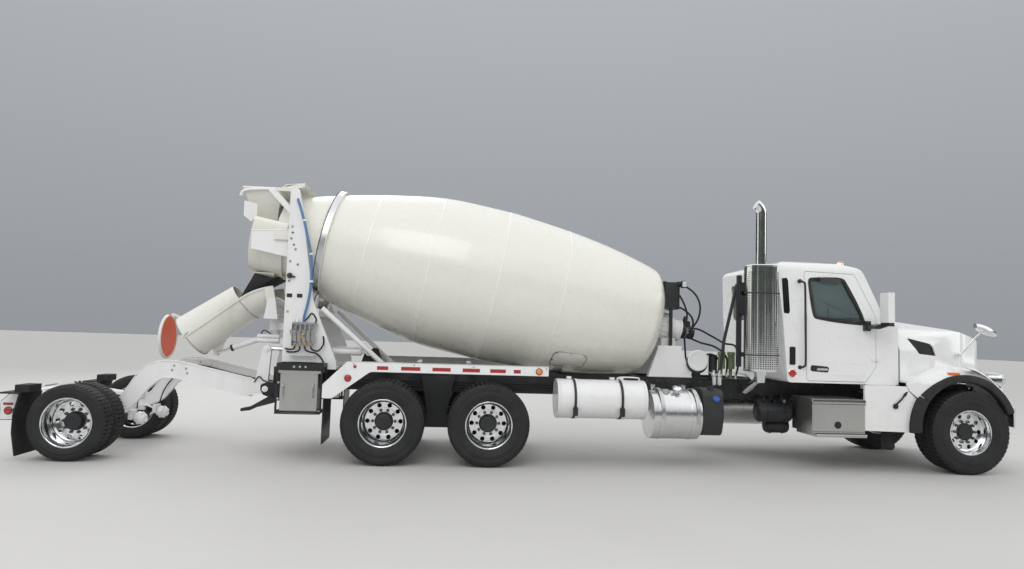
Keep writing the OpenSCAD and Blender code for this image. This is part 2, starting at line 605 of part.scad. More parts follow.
module fuel_tank(x0, x1, s) {
    tank_y = front_half_w - 40 - fuel_tank_r;
    tank_z = 690;
    rod([x0, s * tank_y, tank_z], [x1, s * tank_y, tank_z], fuel_tank_r);
    for (x = [x0 + 110, x1 - 110]) {
        rod([x - 25, s * tank_y, tank_z], [x + 25, s * tank_y, tank_z], fuel_tank_r + 6);
        on_side(s) block([x - 30, rail_y, rail_bottom + 10], [x + 30, tank_y - 150, rail_top - 90]);
    }
    translate([x0 + 200, s * (tank_y + 110), tank_z + fuel_tank_r - 40]) cylinder(r = 55, h = 60);
}
module fuel_tanks() color("#c9cccf") {
    fuel_tank(2810, 3455, -1);
    fuel_tank(3900, 5400, 1);
}
module fluid_tank() color("#20242b") on_side(-1) {
    cross_plate(3470, 3740)
        polygon(soft([[700, 440, 60], [1130, 440, 120], [1200, 700, 160], [1160, 1050, 120], [700, 1050, 40]]));
    block([3540, rail_y, 900], [3670, 700, 1000]);
    translate([3600, 1080, 1030]) cylinder(r = 38, h = 60);
}
module water_tank() color("#f2f2ef") {
    y = -935;
    z = 875;
    rod([1550, y, z], [2730, y, z], water_tank_r);
    for (x = [1800, 2440]) {
        rod([x - 25, y, z], [x + 25, y, z], water_tank_r + 6);
        block([x - 30, y + 150, 960], [x + 30, -rail_y, 1080]);
    }
}
module tool_box() color("#b9bab8") on_side(-1) {
    side_plate(660, 1200) polygon([[4945, 520], [5680, 520], [5680, 930], [4945, 930]]);
    block([4935, 650, 930], [5684, 1212, 968]);
    block([4990, 700, 470], [5684, 1240, 512]);
    for (x = [5050, 5560]) block([x - 30, 800, 512], [x + 30, 1100, 520]);
    for (x = [5060, 5540]) block([x - 30, rail_y, 860 + 20], [x + 30, 660, 920]);
}
module exhaust_stack() color("#c4c7ca") on_side(-1) {
    cx = 4320;
    cy = 1000;
    translate([cx, cy, 1300]) cylinder(r = 205, h = 1430);
    translate([cx, cy, 1250]) cylinder(r = 90, h = 50);
    translate([cx, cy, 2700]) cylinder(r = 70, h = 740);
    translate([cx - 150, cy, 3440]) rotate([90, 0, 0]) rotate_extrude(angle = 60) translate([150, 0]) circle(r = 70);
    // Bracket post on the rail
    block([cx - 40, 640, rail_top], [cx + 40, 720, 2760]);
    block([cx - 40, rail_y - 90, rail_top], [cx + 40, 720, rail_top + 40]);
    for (z = [1500, 2500]) block([cx - 30, 700, z], [cx + 30, 860, z + 60]);
    // Pipe from below the cab
    translate([cx, cy, 1150]) cylinder(r = 66, h = 101);
    rod([cx, cy, 1200], [cx, 520, 1010], 56);
}

// Drum and what carries it

drum_x = 735;
drum_z = 2390;
module on_drum_axis() translate([drum_x, 0, drum_z]) rotate([0, 90 + drum_tilt, 0]) children();
// Outer profile from the head at the front to the open tail, as [radius, place along the axis]
drum_head_s = 2450;
drum_tail_s = -3050;
drum_rows = [[70, drum_head_s, 0], [430, 2420, 0], [600, 2395, 0], [755, 2300, 0], [820, 2150, 0],
             [940, 1600, 0], [1030, 950, 0], [drum_r, 100, 0], [drum_r, -150, 0], [1060, -950, 0], [900, -1750, 0],
             [745, -2360, 0], [570, -2920, 0], [530, drum_tail_s, 0]];
ring_s = -2360;
drive_shaft_r = 70;
module drum() color("#efece2") on_drum_axis() {
    rotate_extrude($fn = 96) polygon(concat([for (p = drum_rows) [p[0], p[1]]],
        [for (i = [len(drum_rows) - 1 : -1 : 1]) [drum_rows[i][0] - drum_wall, drum_rows[i][1] - (i < 4 ? drum_wall : 0)]],
        [[drive_shaft_r, drum_head_s - 80]]));
    translate([0, 0, ring_s - ring_w / 2]) rotate_extrude($fn = 96)
        polygon([[738, -30], [748, -30], [ring_r - 30, 0], [ring_r, 0], [ring_r, ring_w], [ring_r - 30, ring_w],
                 [748, ring_w + 30], [728, ring_w + 30]]);
}
roller_reach = ring_r + roller_r + seat_gap;
roller_w = 110;
roller_pin_r = 30;
module at_roller(s) on_drum_axis()
    translate([cos(roller_angle) * roller_reach, s * sin(roller_angle) * roller_reach, ring_s]) children();
module roller(s) color("#9a9c9e") at_roller(s) difference() {
    translate([0, 0, -roller_w / 2]) cylinder(r = roller_r, h = roller_w);
    translate([0, 0, -roller_w]) cylinder(r = roller_pin_r, h = 2 * roller_w);
}

upright_y0 = 690;
upright_y1 = 755;
upright_rows = [[-2030, 1190, 0], [-1330, 1190, 0], [-1335, 1260, 40], [-1670, 2050, 300], [-1905, 3450, 0],
                [-1925, 3540, 50], [-2030, 3540, 50]];
post_x = -2300;
post_r = 55;
module rear_pedestal() color("#f2f2ef") {
    both_sides() {
        side_plate(upright_y0, upright_y1) polygon(soft(upright_rows));
        block([-1640, rail_y - rail_flange, rail_top], [-1330, upright_y1, rail_top + 30]);
        // Brace down to the rail in front
        rod([-1560, 700, 1960], [-720, 560, 1215], 34);
        block([-790, rail_y - rail_flange, rail_top], [-650, 600, rail_top + 60]);
        // Roller brackets
        at_roller(1) {
            for (z = [-roller_w / 2 - 24, roller_w / 2 + 4]) translate([0, 0, z]) hull() {
                cylinder(r = 60, h = 20);
                translate([150, -80, 0]) cube([20, 160, 20]);
            }
            translate([0, 0, -roller_w / 2 - 24]) cylinder(r = roller_pin_r - shaft_gap, h = roller_w + 48);
        }
    }
    block([-1880, -upright_y0, 1850], [-1600, upright_y0, 1950]);
    block([-2030, -upright_y0, 1640], [-1930, upright_y0, 1760]);
    // Bearing of the chute's post
    difference() {
        union() {
            translate([post_x, 0, 1640]) cylinder(r = 95, h = 120);
            block([post_x, -80, 1650], [-1940, 80, 1750]);
        }
        translate([post_x, 0, 1600]) cylinder(r = post_r, h = 200);
    }
}

// Front pedestal under the drum's gearbox
gear_s = drum_head_s + run_gap;
drive_seat_z = 1710;
module front_pedestal() color("#f2f2ef") {
    both_sides() side_plate(340, 430)
        polygon([[2940, rail_top], [3580, rail_top], [3420, 1560], [3080, 1560]]);
    block([3080, -430, 1540], [3420, 430, 1600]);
    block([3200, -190, 1600], [3400, 190, drive_seat_z]);
}
module drum_drive() color("#f0efe9") difference() {
    on_drum_axis() {
        translate([0, 0, gear_s]) cylinder(r = 235, h = 60);
        translate([0, 0, gear_s + 60]) cylinder(r = 205, h = 180);
        translate([0, 0, gear_s + 240]) cylinder(r = 150, h = 120);
        translate([0, 0, gear_s + 360]) cylinder(r = 85, h = 180);
        translate([0, 0, gear_s - 60]) cylinder(r = drive_shaft_r - shaft_gap, h = 61);
    }
    block([2800, -400, 1400], [3800, 400, drive_seat_z]);
}
module oil_cooler() color("#1d1e20") {
    block([3225, -260, 2140], [3425, 260, 2520]);
    both_sides() block([3300, 214, 1600], [3340, 259, 2140]);
    disc_y(3640, 1370, -477, -432, 150);
    block([3600, -433, rail_top], [3700, -345, 1390]);
    translate([3900, -380, rail_top]) cylinder(r = 60, h = 330);
}

module charge_hopper() color("#f0efe9") {
    difference() {
        hull() {
            block([-2700, -520, 3530], [-2215, 520, 3560]);
            block([-2560, -300, 3110], [-2290, 300, 3120]);
        }
        hull() {
            block([-2690, -510, 3540], [-2225, 510, 3562]);
            block([-2550, -290, 3108], [-2300, 290, 3122]);
        }
    }
    both_sides() block([-2240, 512, 3500], [-1960, upright_y0, 3545]);
    // Splash plate over the drum's mouth
    side_plate(-500, 500) polygon([[-2221, 3553], [-2150, 3618], [-1900, 3646], [-1900, 3656], [-2154, 3628], [-2221, 3572]]);
    both_sides() side_plate(500, 512) polygon([[-2221, 3500], [-2150, 3540], [-1900, 3600], [-1900, 3656], [-2221, 3572]]);
    for (x = [-2712, -2215]) rod([x + 6, -520, 3560], [x + 6, 520, 3560], 14);
    both_sides() rod([-2706, 520, 3560], [-2209, 520, 3560], 14);
}
cowl_r = 622;
module collector() color("#efece2") {
    on_drum_axis() translate([0, 0, -3330]) rotate([0, 0, -100]) rotate_extrude(angle = 200)
        translate([cowl_r, 0]) square([10, 450]);
    both_sides() block([-2230, cowl_r, 2850], [-2000, upright_y0, 2950]);
    difference() {
        hull() {
            block([-2560, -300, 2422], [-2300, 300, 2432]);
            block([-2520, -200, 2325], [-2320, 200, 2335]);
        }
        hull() {
            block([-2550, -290, 2420], [-2310, 290, 2434]);
            block([-2510, -190, 2323], [-2330, 190, 2337]);
        }
    }
}

// Guards over the tandem, with mud flaps
guard_rows = [[-1420, 830, 10], [-1300, 830, 0], [-840, 1170, 100], [1410, 1170, 10], [1410, 1290, 10], [-1130, 1290, 60],
              [-1420, 1000, 30]];
module wheel_guards() color("#f2f2ef") both_sides() {
    side_plate(1204, 1216) polygon(soft(guard_rows));
    for (x = [-300, 450, 1300]) block([x - 30, rail_y - rail_flange, 1200], [x + 30, 1204, 1240]);
    for (x = [-300, 450, 1300]) block([x - 30, rail_y - rail_flange, rail_top], [x + 30, rail_y, 1200]);
    block([-1418, rail_y, 930], [-1388, 1204, 990]);
    block([-1410, 600, 260], [-1398, 1190, 930]);
}
module rear_cabinets() color("#a9aaa8") both_sides() {
    block([-1965, 770, 640], [-1505, 1060, 1120]);
    block([-2005, 760, 1120], [-1465, 1070, 1150]);
    block([-1700, rail_y, 1080], [-1520, 770, 1120]);
}

// Chutes

chute_nose_r = 260;
bend_r = 900;
bend_x = -2178;
bend_z = 1360;
tilt_x = -2300;
tilt_z = 2040;
straight = 900;
// Hinge of the extension chute at the outer end of the main chute
hinge_x = bend_x - sin(chute_slope) * bend_r - cos(chute_slope) * straight;
hinge_z = bend_z + cos(chute_slope) * bend_r - sin(chute_slope) * straight;
module on_chute_end() translate([hinge_x, 0, hinge_z]) rotate([0, -chute_slope, 0]) children();
// The hinge axis lies half way between the rims of the two troughs
fold_lift = 8;
hinge_ear = [[-17, -10, 16], [40, -28, 0], [80, -24, 0], [80, -4, 0], [17, 4, 0], [12, 20, 14], [-17, 20, 16]];
module half_trough(r1, r2, h) rotate([0, 90, 0]) difference() {
    cylinder(r1 = r1 + trough_wall, r2 = r2 + trough_wall, h = h);
    translate([0, 0, -1]) cylinder(r1 = r1, r2 = r2, h = h + 2);
    translate([-500, -500, -1]) cube([500, 1000, h + 2]);
}
module main_chute() color("#f3f2ec") {
    // Straight part
    on_chute_end() {
        half_trough(trough_r, trough_r, straight);
        both_sides() {
            block([60, trough_r, -24], [straight, trough_r + 26, 0]);
            side_plate(trough_r + 12, trough_r + 22) polygon(soft(hinge_ear));
            disc_y(0, fold_lift / 2, trough_r + 12, trough_r + 40, 10 - shaft_gap);
        }
    }
    // Bend at the top: the trough's section turned about an axis below, rounded in plan round the post
    intersection() {
        union() {
            translate([post_x, 0, 1500]) cylinder(r = chute_nose_r, h = 1000);
            block([-2900, -400, 1500], [post_x, 400, 2500]);
        }
        translate([bend_x, 0, bend_z]) rotate([90, 0, 0]) rotate([0, 0, 90 - 18])
            rotate_extrude(angle = chute_slope + 18, $fn = 180)
        translate([bend_r, 0]) {
            difference() {
                circle(r = trough_r + trough_wall);
                circle(r = trough_r);
                translate([0, -500]) square([500, 1000]);
            }
            for (y = [-trough_r - 26, trough_r]) translate([-24, y]) square([24, 26]);
        }
    }
    // Ears at the tilt pin, and the lug for the lift rod
    both_sides() difference() {
        side_plate(trough_r + trough_wall - 2, trough_r + trough_wall + 22)
            polygon(soft([[tilt_x - 60, tilt_z - 50, 20], [tilt_x + 60, tilt_z - 50, 20], [tilt_x + 5, 2246, 0],
                          [tilt_x - 110, 2226, 0]]));
        disc_y(tilt_x, tilt_z, 200, 500, 25);
    }
    side_plate(24, 46) polygon(soft([[-3135, 1265, 30], [-3065, 1265, 30], [-2980, 1490, 0], [-3150, 1358, 0]]));
}
// Lift cylinder: its pivot on the swivel and the eye of its rod under the main chute
lift_x0 = -2400;
lift_z0 = 1560;
lift_x1 = -3100;
lift_z1 = 1300;
// The flap hangs on a pin behind the arch of the extension chute, at these places along and above the chute
hook_u = -30;
hook_w = 400;
hook_r = 8;
module fold_chute() color("#f3f2ec") on_chute_end() {
    translate([6, 0, fold_lift]) mirror([0, 0, 1]) half_trough(trough_r, 230, fold_length);
    both_sides() {
        // Ears on the hinge pins
        difference() {
            union() {
                translate([0, 0, fold_lift]) mirror([0, 0, 1])
                    side_plate(trough_r + 28, trough_r + 38) polygon(soft(hinge_ear));
                block([26, trough_r + 2, fold_lift + 4], [80, trough_r + 30, fold_lift + 24]);
            }
            disc_y(0, fold_lift / 2, trough_r, trough_r + 60, 10);
        }
        // Hook plates for the flap
        side_plate(16, 24)
            polygon([[6, 304], [40, 302], [40, 322], [-14, hook_w + 14], [hook_u - 14, hook_w + 14],
                     [hook_u - 16, hook_w - 12], [6, 330]]);
    }
    disc_y(hook_u, hook_w, -24, 24, hook_r - shaft_gap);
}
flap_x = hinge_x + cos(chute_slope) * hook_u - sin(chute_slope) * hook_w;
flap_z = hinge_z + sin(chute_slope) * hook_u + cos(chute_slope) * hook_w;
flap_drop = flap_r + 6;
module end_flap() color("#e8542f") {
    difference() {
        union() {
            rod([flap_x - 58, 0, flap_z - flap_drop], [flap_x - 38, 0, flap_z - flap_drop], flap_r);
            block([flap_x - 46, -12, flap_z - 8], [flap_x, 12, flap_z + 8]);
            disc_y(flap_x, flap_z, -12, 12, 14);
        }
        rod([flap_x - 59, 0, flap_z - flap_drop], [flap_x - 52, 0, flap_z - flap_drop], flap_r - 26);
        disc_y(flap_x, flap_z, -20, 20, hook_r);
    }
}
module chute_swivel() color("#f2f2ef") {
    translate([post_x, 0, 1460]) cylinder(r = post_r - shaft_gap, h = 341);
    translate([post_x, 0, 1764]) cylinder(r = 95, h = 36);
    block([post_x - 90, -trough_r - 60, 1800], [post_x + 90, trough_r + 60, 1840]);
    both_sides() side_plate(trough_r + trough_wall + 24, trough_r + trough_wall + 46)
        polygon(soft([[tilt_x - 90, 1801, 0], [tilt_x + 90, 1801, 0], [tilt_x + 50, tilt_z + 50, 40],
                      [tilt_x - 50, tilt_z + 50, 40]]));
    both_sides() disc_y(tilt_x, tilt_z, trough_r + trough_wall - 1, trough_r + trough_wall + 46, 25 - shaft_gap);
    // Foot of the lift cylinder
    translate([post_x, 0, 1460]) cylinder(r = 60, h = 170);
    both_sides() side_plate(30, 48)
        polygon(soft([[lift_x0 - 32, lift_z0 - 32, 30], [post_x, 1470, 0], [post_x, 1625, 0],
                      [lift_x0 - 32, lift_z0 + 32, 30]]));
    disc_y(lift_x0, lift_z0, -48, 48, 18 - shaft_gap);
}
lift_dir = unit([lift_x1 - lift_x0, 0, lift_z1 - lift_z0]);
lift_p0 = [lift_x0, 0, lift_z0];
lift_p1 = [lift_x1, 0, lift_z1];
module chute_lift_barrel() color("#f2f2ef") difference() {
    union() {
        disc_y(lift_x0, lift_z0, -22, 22, 34);
        rod(lift_p0 + 24 * lift_dir, lift_p0 + 90 * lift_dir, 17);
        rod(lift_p0 + 70 * lift_dir, lift_p0 + 520 * lift_dir, 40);
    }
    disc_y(lift_x0, lift_z0, -60, 60, 18);
    rod(lift_p0 + 110 * lift_dir, lift_p0 + 530 * lift_dir, 20);
}
module chute_lift_rod() color("#c8cacc") {
    rod(lift_p0 + 320 * lift_dir, lift_p1, 20 - shaft_gap);
    disc_y(lift_x1, lift_z1, -16, 14, 32);
}

// Trailing axle

// Arm outline: a hump that clears the tyres in front, then down to the axle
arm_rows = [[-2230, 820, 30], [-2540, 775, 60], [booster_x + 870, 1020, 300], [booster_x + 630, 800, 120],
            [booster_x + 470, 600, 200], [booster_x + 280, 520, 40], [booster_x + 70, 520, 30],
            [booster_x + 70, 640, 30], [booster_x + 300, 700, 120], [booster_x + 470, 960, 160],
            [booster_x + 710, 1190, 200], [booster_x + 1130, 1180, 300], [-2240, 945, 30], [-2190, 900, 30],
            [-2190, 850, 30]];
lever_x = -2280;
lever_z = 1400;
lever_rows = [[-2420, 930, 0], [-2250, 900, 0], [-2225, 1400, 50], [-2280, 1455, 50], [-2335, 1400, 50]];
axle_r = 62;
module booster_frame() color("#f2f2ef") {
    both_sides() {
        difference() {
            side_plate(arm_y - arm_t / 2, arm_y + arm_t / 2) union() {
                polygon(soft([for (i = [len(arm_rows) - 1 : -1 : 0]) arm_rows[i]]));
                polygon(soft(lever_rows));
            }
            disc_y(pivot_x, pivot_z, 400, 600, pivot_r);
        }
        block([booster_x + 60, arm_y - arm_t / 2, 440], [booster_x + 230, arm_y + arm_t / 2, 540]);
        // Tube back to the lamp bar
        rod([booster_x + 230, 470, 640], [lamp_plate_x + 130, 520, 760], 38);
    }
    translate([booster_x, 0, booster_tyre_r]) {
        rod([0, 90 - booster_mid_y, 0], [0, booster_mid_y - 92, 0], axle_r);
        rod([0, -booster_mid_y - 84, 0], [0, booster_mid_y + 84, 0], spindle_r - shaft_gap);
    }
    rod([lamp_plate_x + 130, -900, 760], [lamp_plate_x + 130, 900, 760], 34);
}
// Mud flaps that curve round the tyres' rear, top brackets and lamp plates
flap_x0 = booster_x - 590;
flap_rows = [[flap_x0 + 45, 60, 0], [flap_x0 - 6, 330, 300], [flap_x0 - 6, 560, 300], [flap_x0 + 50, 798, 0],
             [flap_x0 + 36, 798, 0], [flap_x0 - 18, 560, 300], [flap_x0 - 18, 330, 300], [flap_x0 + 33, 60, 0]];
module booster_guards() color("#1d1e20") both_sides() {
    side_plate(700, 1180) polygon(soft(flap_rows));
    block([lamp_plate_x + 118, 760, 794], [flap_x0 + 50, 1180, 812]);
    block([flap_x0 - 40, 860, 812], [flap_x0 + 120, 1130, 900]);
    side_plate(905, 917) polygon(soft([[lamp_plate_x, 450, 10], [flap_x0 - 70, 450, 10], [flap_x0 - 70, 720, 0],
        [flap_x0 - 140, 796, 0], [lamp_plate_x + 118, 796, 0], [lamp_plate_x, 680, 20]]));
}
barrel_dir = unit([lever_x - cyl_x, 0, lever_z - cyl_z]);
module booster_barrels() color("#f2f2ef") both_sides() translate([cyl_x, cyl_y, cyl_z]) difference() {
    union() {
        disc_y(0, 0, -20, 20, 42);
        rod(30 * barrel_dir, 110 * barrel_dir, 17);
        rod(100 * barrel_dir, 790 * barrel_dir, 45);
    }
    disc_y(0, 0, -60, 60, 22);
    rod(150 * barrel_dir, 800 * barrel_dir, 26);
}
module booster_rods() color("#c8cacc") both_sides() translate([cyl_x, cyl_y, cyl_z]) {
    rod(720 * barrel_dir, norm([lever_x - cyl_x, lever_z - cyl_z]) * barrel_dir, 26 - shaft_gap);
    disc_y(lever_x - cyl_x, lever_z - cyl_z, -18, 29, 38);
}

truck() chassis_frame();
truck() front_axle();
truck() drive_axles();
truck() front_end() engine();
truck() front_end() bumper();
truck() front_end() cab_shell();
truck() front_end() cab_glass();
truck() front_end() cab_interior();
truck() front_end() door(-1);  // door_right
truck() front_end() door(1);  // door_left
truck() front_end() door_glass(-1);  // door_glass_right
truck() front_end() door_glass(1);  // door_glass_left
truck() front_end() mirror_unit(-1);  // mirror_right
truck() front_end() mirror_unit(1);  // mirror_left
truck() front_end() hood();
truck() front_end() grille_and_lamps();
truck() fuel_tanks();
truck() fluid_tank();
truck() water_tank();
truck() front_end() tool_box();
truck() front_end() exhaust_stack();
truck() front_pedestal();
truck() drum_drive();
truck() oil_cooler();
truck() drum();
truck() roller(-1);  // roller_right
truck() roller(1);  // roller_left
truck() rear_pedestal();
truck() charge_hopper();
truck() collector();
truck() wheel_guards();
truck() rear_cabinets();
truck() chute_swivel();
truck() main_chute();
truck() fold_chute();
truck() end_flap();
truck() chute_lift_barrel();
truck() chute_lift_rod();
truck() booster_frame();
truck() booster_guards();
truck() booster_barrels();
truck() booster_rods();
truck() knuckle(-1);  // knuckle_right
truck() knuckle(1);  // knuckle_left
truck() front_tyre(-1);  // front_tyre_right
truck() front_rim(-1);  // front_rim_right
truck() front_tyre(1);  // front_tyre_left
truck() front_rim(1);  // front_rim_left
truck() drive_tyres(tandem_spacing / 2, -1);  // drive_tyres_fr
truck() drive_rims(tandem_spacing / 2, -1);  // drive_rims_fr
truck() drive_tyres(tandem_spacing / 2, 1);  // drive_tyres_fl
truck() drive_rims(tandem_spacing / 2, 1);  // drive_rims_fl
truck() drive_tyres(-tandem_spacing / 2, -1);  // drive_tyres_rr
truck() drive_rims(-tandem_spacing / 2, -1);  // drive_rims_rr
truck() drive_tyres(-tandem_spacing / 2, 1);  // drive_tyres_rl
truck() drive_rims(-tandem_spacing / 2, 1);  // drive_rims_rl
truck() booster_tyres(-1);  // booster_tyres_right
truck() booster_rims(-1);  // booster_rims_right
truck() booster_tyres(1);  // booster_tyres_left
truck() booster_rims(1);  // booster_rims_left
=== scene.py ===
"""Concrete mixer truck: finishes, trim and small parts on the packed frame."""

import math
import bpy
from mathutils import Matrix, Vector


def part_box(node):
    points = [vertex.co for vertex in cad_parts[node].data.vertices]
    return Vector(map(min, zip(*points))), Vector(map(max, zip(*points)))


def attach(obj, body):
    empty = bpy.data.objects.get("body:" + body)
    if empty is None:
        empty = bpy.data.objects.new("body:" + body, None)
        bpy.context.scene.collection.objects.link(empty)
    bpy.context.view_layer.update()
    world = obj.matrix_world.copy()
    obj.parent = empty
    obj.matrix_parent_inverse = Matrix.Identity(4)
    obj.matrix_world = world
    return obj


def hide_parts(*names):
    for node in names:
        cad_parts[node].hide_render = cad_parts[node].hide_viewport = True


bl_info = {
    "name": "Concrete Mixer Truck",
    "version": (1, 0, 0),
    "blender": (4, 5, 0),
    "location": "3D View > Sidebar > Mixer",
    "description": "Dresses the packed mixer truck with paint, tread, trim, lamps and hoses",
    "category": "Object",
}

import bmesh
import bpy
from bpy.props import FloatProperty, FloatVectorProperty, IntProperty, PointerProperty
from mathutils import Matrix, Vector
from mathutils.bvhtree import BVHTree

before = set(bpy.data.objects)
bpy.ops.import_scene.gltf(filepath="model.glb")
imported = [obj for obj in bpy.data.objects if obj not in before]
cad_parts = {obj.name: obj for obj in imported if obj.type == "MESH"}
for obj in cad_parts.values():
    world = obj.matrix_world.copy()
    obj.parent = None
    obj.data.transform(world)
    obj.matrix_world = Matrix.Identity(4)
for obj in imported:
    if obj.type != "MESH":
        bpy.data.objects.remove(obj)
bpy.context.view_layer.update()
# How far the packed row's origin lies in front of the tandem's middle
SHIFT = 1.315
RIGHT = -1
LEFT = 1
SIDES = ((RIGHT, "right"), (LEFT, "left"))
# Each axle's place along the truck and its height
FRONT_AXLE = (7.17, 0.562)
TANDEM_FRONT = (0.67, 0.527)
TANDEM_REAR = (-0.67, 0.527)
BOOSTER_AXLE = (-4.43, 0.46)
DRUM_PLACE = (0.735, 2.39)
DRUM_TILT = math.radians(11.5)
CHUTE_SLOPE = math.radians(37.8)
CHUTE_END = (-3.4380, 1.5191)
# Centre of the front wheel arch
ARCH = (7.10, 0.60)
# The roller ring's place along the drum's axis
RING_PLACE = -2.36
# Half width of the cab's doors, and their lean inwards above the window's foot
SKIN = 1.03
DOOR_LEAN = 0.135
# Widths of the tyres, and the gap between twins
FRONT_WIDTH = 0.425
TANDEM_WIDTH = 0.279
BOOSTER_WIDTH = 0.255
TWIN_GAP = 0.061
LUG_NUTS = 10
DRUM_SIDES = 96
# Edges that turn by more than this stay sharp
SHARP_ANGLE = math.radians(38)
# The solved camera: place, then yaw, pitch and roll, then its lens
CAMERA_PLACE = (0.088, -10.1445, 1.7037)
CAMERA_TURN = (0.0910, 0.0698, 0.0316)
SENSOR = 36
FOCAL_OF_WIDTH = 700 / 1024


class TruckSizes(bpy.types.PropertyGroup):
    """Sizes and colours of the dressing."""

    tread_depth: FloatProperty(name="Tread depth", description="Depth of the tyre grooves",
                               default=0.013, min=0.004, max=0.02, unit="LENGTH")
    tread_pitches: IntProperty(name="Tread pitches", description="Tread blocks round a tyre",
                               default=54, min=24, max=90)
    shield_pitch: FloatProperty(name="Shield hole pitch",
                                description="Distance between the holes of the exhaust shield",
                                default=0.031, min=0.012, max=0.04, unit="LENGTH")
    hose_radius: FloatProperty(name="Hose radius", description="Radius of the hydraulic hoses",
                               default=0.014, min=0.005, max=0.03, unit="LENGTH")
    bolt_radius: FloatProperty(name="Bolt radius", description="Radius of the frame bolts' heads",
                               default=0.013, min=0.006, max=0.03, unit="LENGTH")
    paint: FloatVectorProperty(name="Paint", description="Colour of the cab and the mixer",
                               default=(0.80, 0.805, 0.80), size=3, subtype="COLOR")
    drum_paint: FloatVectorProperty(name="Drum paint", description="Colour of the drum",
                                    default=(0.76, 0.755, 0.68), size=3, subtype="COLOR")
    frame_paint: FloatVectorProperty(name="Frame paint", description="Colour of the chassis",
                                     default=(0.014, 0.015, 0.017), size=3, subtype="COLOR")
    flap_paint: FloatVectorProperty(name="Flap paint", description="Colour of the hanging end flap",
                                    default=(0.95, 0.105, 0.016), size=3, subtype="COLOR")
    floor: FloatVectorProperty(name="Floor", description="Colour of the floor",
                               default=(0.56, 0.55, 0.535), size=3, subtype="COLOR")


class Finish:
    """One procedural finish on Object coordinates, built round a Principled shader."""

    def __init__(self, name, colour, roughness, metallic=0.0):
        self.material = bpy.data.materials.new(name)
        self.material.use_nodes = True
        self.tree = self.material.node_tree
        self.shader = self.tree.nodes["Principled BSDF"]
        self.shader.inputs["Base Color"].default_value = (*colour, 1)
        self.shader.inputs["Roughness"].default_value = roughness
        self.shader.inputs["Metallic"].default_value = metallic
        self.place = self.node("ShaderNodeTexCoord").outputs["Object"]
        self.colour = tuple(colour)

    def node(self, kind, **values):
        made = self.tree.nodes.new(kind)
        for name, value in values.items():
            setattr(made, name, value)
        return made

    def link(self, start, end):
        self.tree.links.new(start, end)

    def noise(self, scale, detail=4, stretch=(1, 1, 1)):
        spread = self.node("ShaderNodeMapping")
        spread.inputs["Scale"].default_value = stretch
        self.link(self.place, spread.inputs["Vector"])
        texture = self.node("ShaderNodeTexNoise")
        texture.inputs["Scale"].default_value = scale
        texture.inputs["Detail"].default_value = detail
        self.link(spread.outputs["Vector"], texture.inputs["Vector"])
        return texture.outputs["Fac"]

    def cells(self, scale):
        texture = self.node("ShaderNodeTexVoronoi")
        texture.inputs["Scale"].default_value = scale
        self.link(self.place, texture.inputs["Vector"])
        return texture.outputs["Distance"]

    def along(self, axis):
        split = self.node("ShaderNodeSeparateXYZ")
        self.link(self.place, split.inputs[0])
        return split.outputs[axis]

    def reach(self, centre, flat_axis=1):
        """Distance from a line through centre, along the flat axis."""
        shift = self.node("ShaderNodeVectorMath", operation="SUBTRACT")
        self.link(self.place, shift.inputs[0])
        shift.inputs[1].default_value = centre
        keep = self.node("ShaderNodeVectorMath", operation="MULTIPLY")
        self.link(shift.outputs[0], keep.inputs[0])
        keep.inputs[1].default_value = [0 if i == flat_axis else 1 for i in range(3)]
        length = self.node("ShaderNodeVectorMath", operation="LENGTH")
        self.link(keep.outputs[0], length.inputs[0])
        return length.outputs["Value"]

    def span(self, value, low, high, out_low=0.0, out_high=1.0):
        change = self.node("ShaderNodeMapRange")
        for name, number in (("From Min", low), ("From Max", high), ("To Min", out_low),
                             ("To Max", out_high)):
            change.inputs[name].default_value = number
        self.link(value, change.inputs["Value"])
        return change.outputs["Result"]

    def join(self, operation, a, b):
        sum_node = self.node("ShaderNodeMath", operation=operation)
        for socket, value in zip(sum_node.inputs, (a, b)):
            if isinstance(value, (int, float)):
                socket.default_value = value
            else:
                self.link(value, socket)
        return sum_node.outputs[0]

    def tint(self, factor, colour):
        """Lays a second colour over what there is, where factor is high."""
        mix = self.node("ShaderNodeMix", data_type="RGBA")
        self.link(factor, mix.inputs["Factor"])
        socket = self.shader.inputs["Base Color"]
        if socket.links:
            self.link(socket.links[0].from_socket, mix.inputs["A"])
        else:
            mix.inputs["A"].default_value = (*self.colour, 1)
        mix.inputs["B"].default_value = (*colour, 1)
        self.link(mix.outputs["Result"], socket)
        return self

    def vary(self, name, factor, low, high):
        self.link(self.span(factor, 0, 1, low, high), self.shader.inputs[name])
        return self

    def bump(self, height, strength, distance):
        node = self.node("ShaderNodeBump")
        node.inputs["Strength"].default_value = strength
        node.inputs["Distance"].default_value = distance
        self.link(height, node.inputs["Height"])
        normal = self.shader.inputs["Normal"]
        if normal.links:
            self.link(normal.links[0].from_socket, node.inputs["Normal"])
        self.link(node.outputs["Normal"], normal)
        return self

    def coat(self, amount, roughness=0.05):
        self.shader.inputs["Coat Weight"].default_value = amount
        self.shader.inputs["Coat Roughness"].default_value = roughness
        return self

    def glow(self, colour, strength):
        self.shader.inputs["Emission Color"].default_value = (*colour, 1)
        self.shader.inputs["Emission Strength"].default_value = strength
        return self


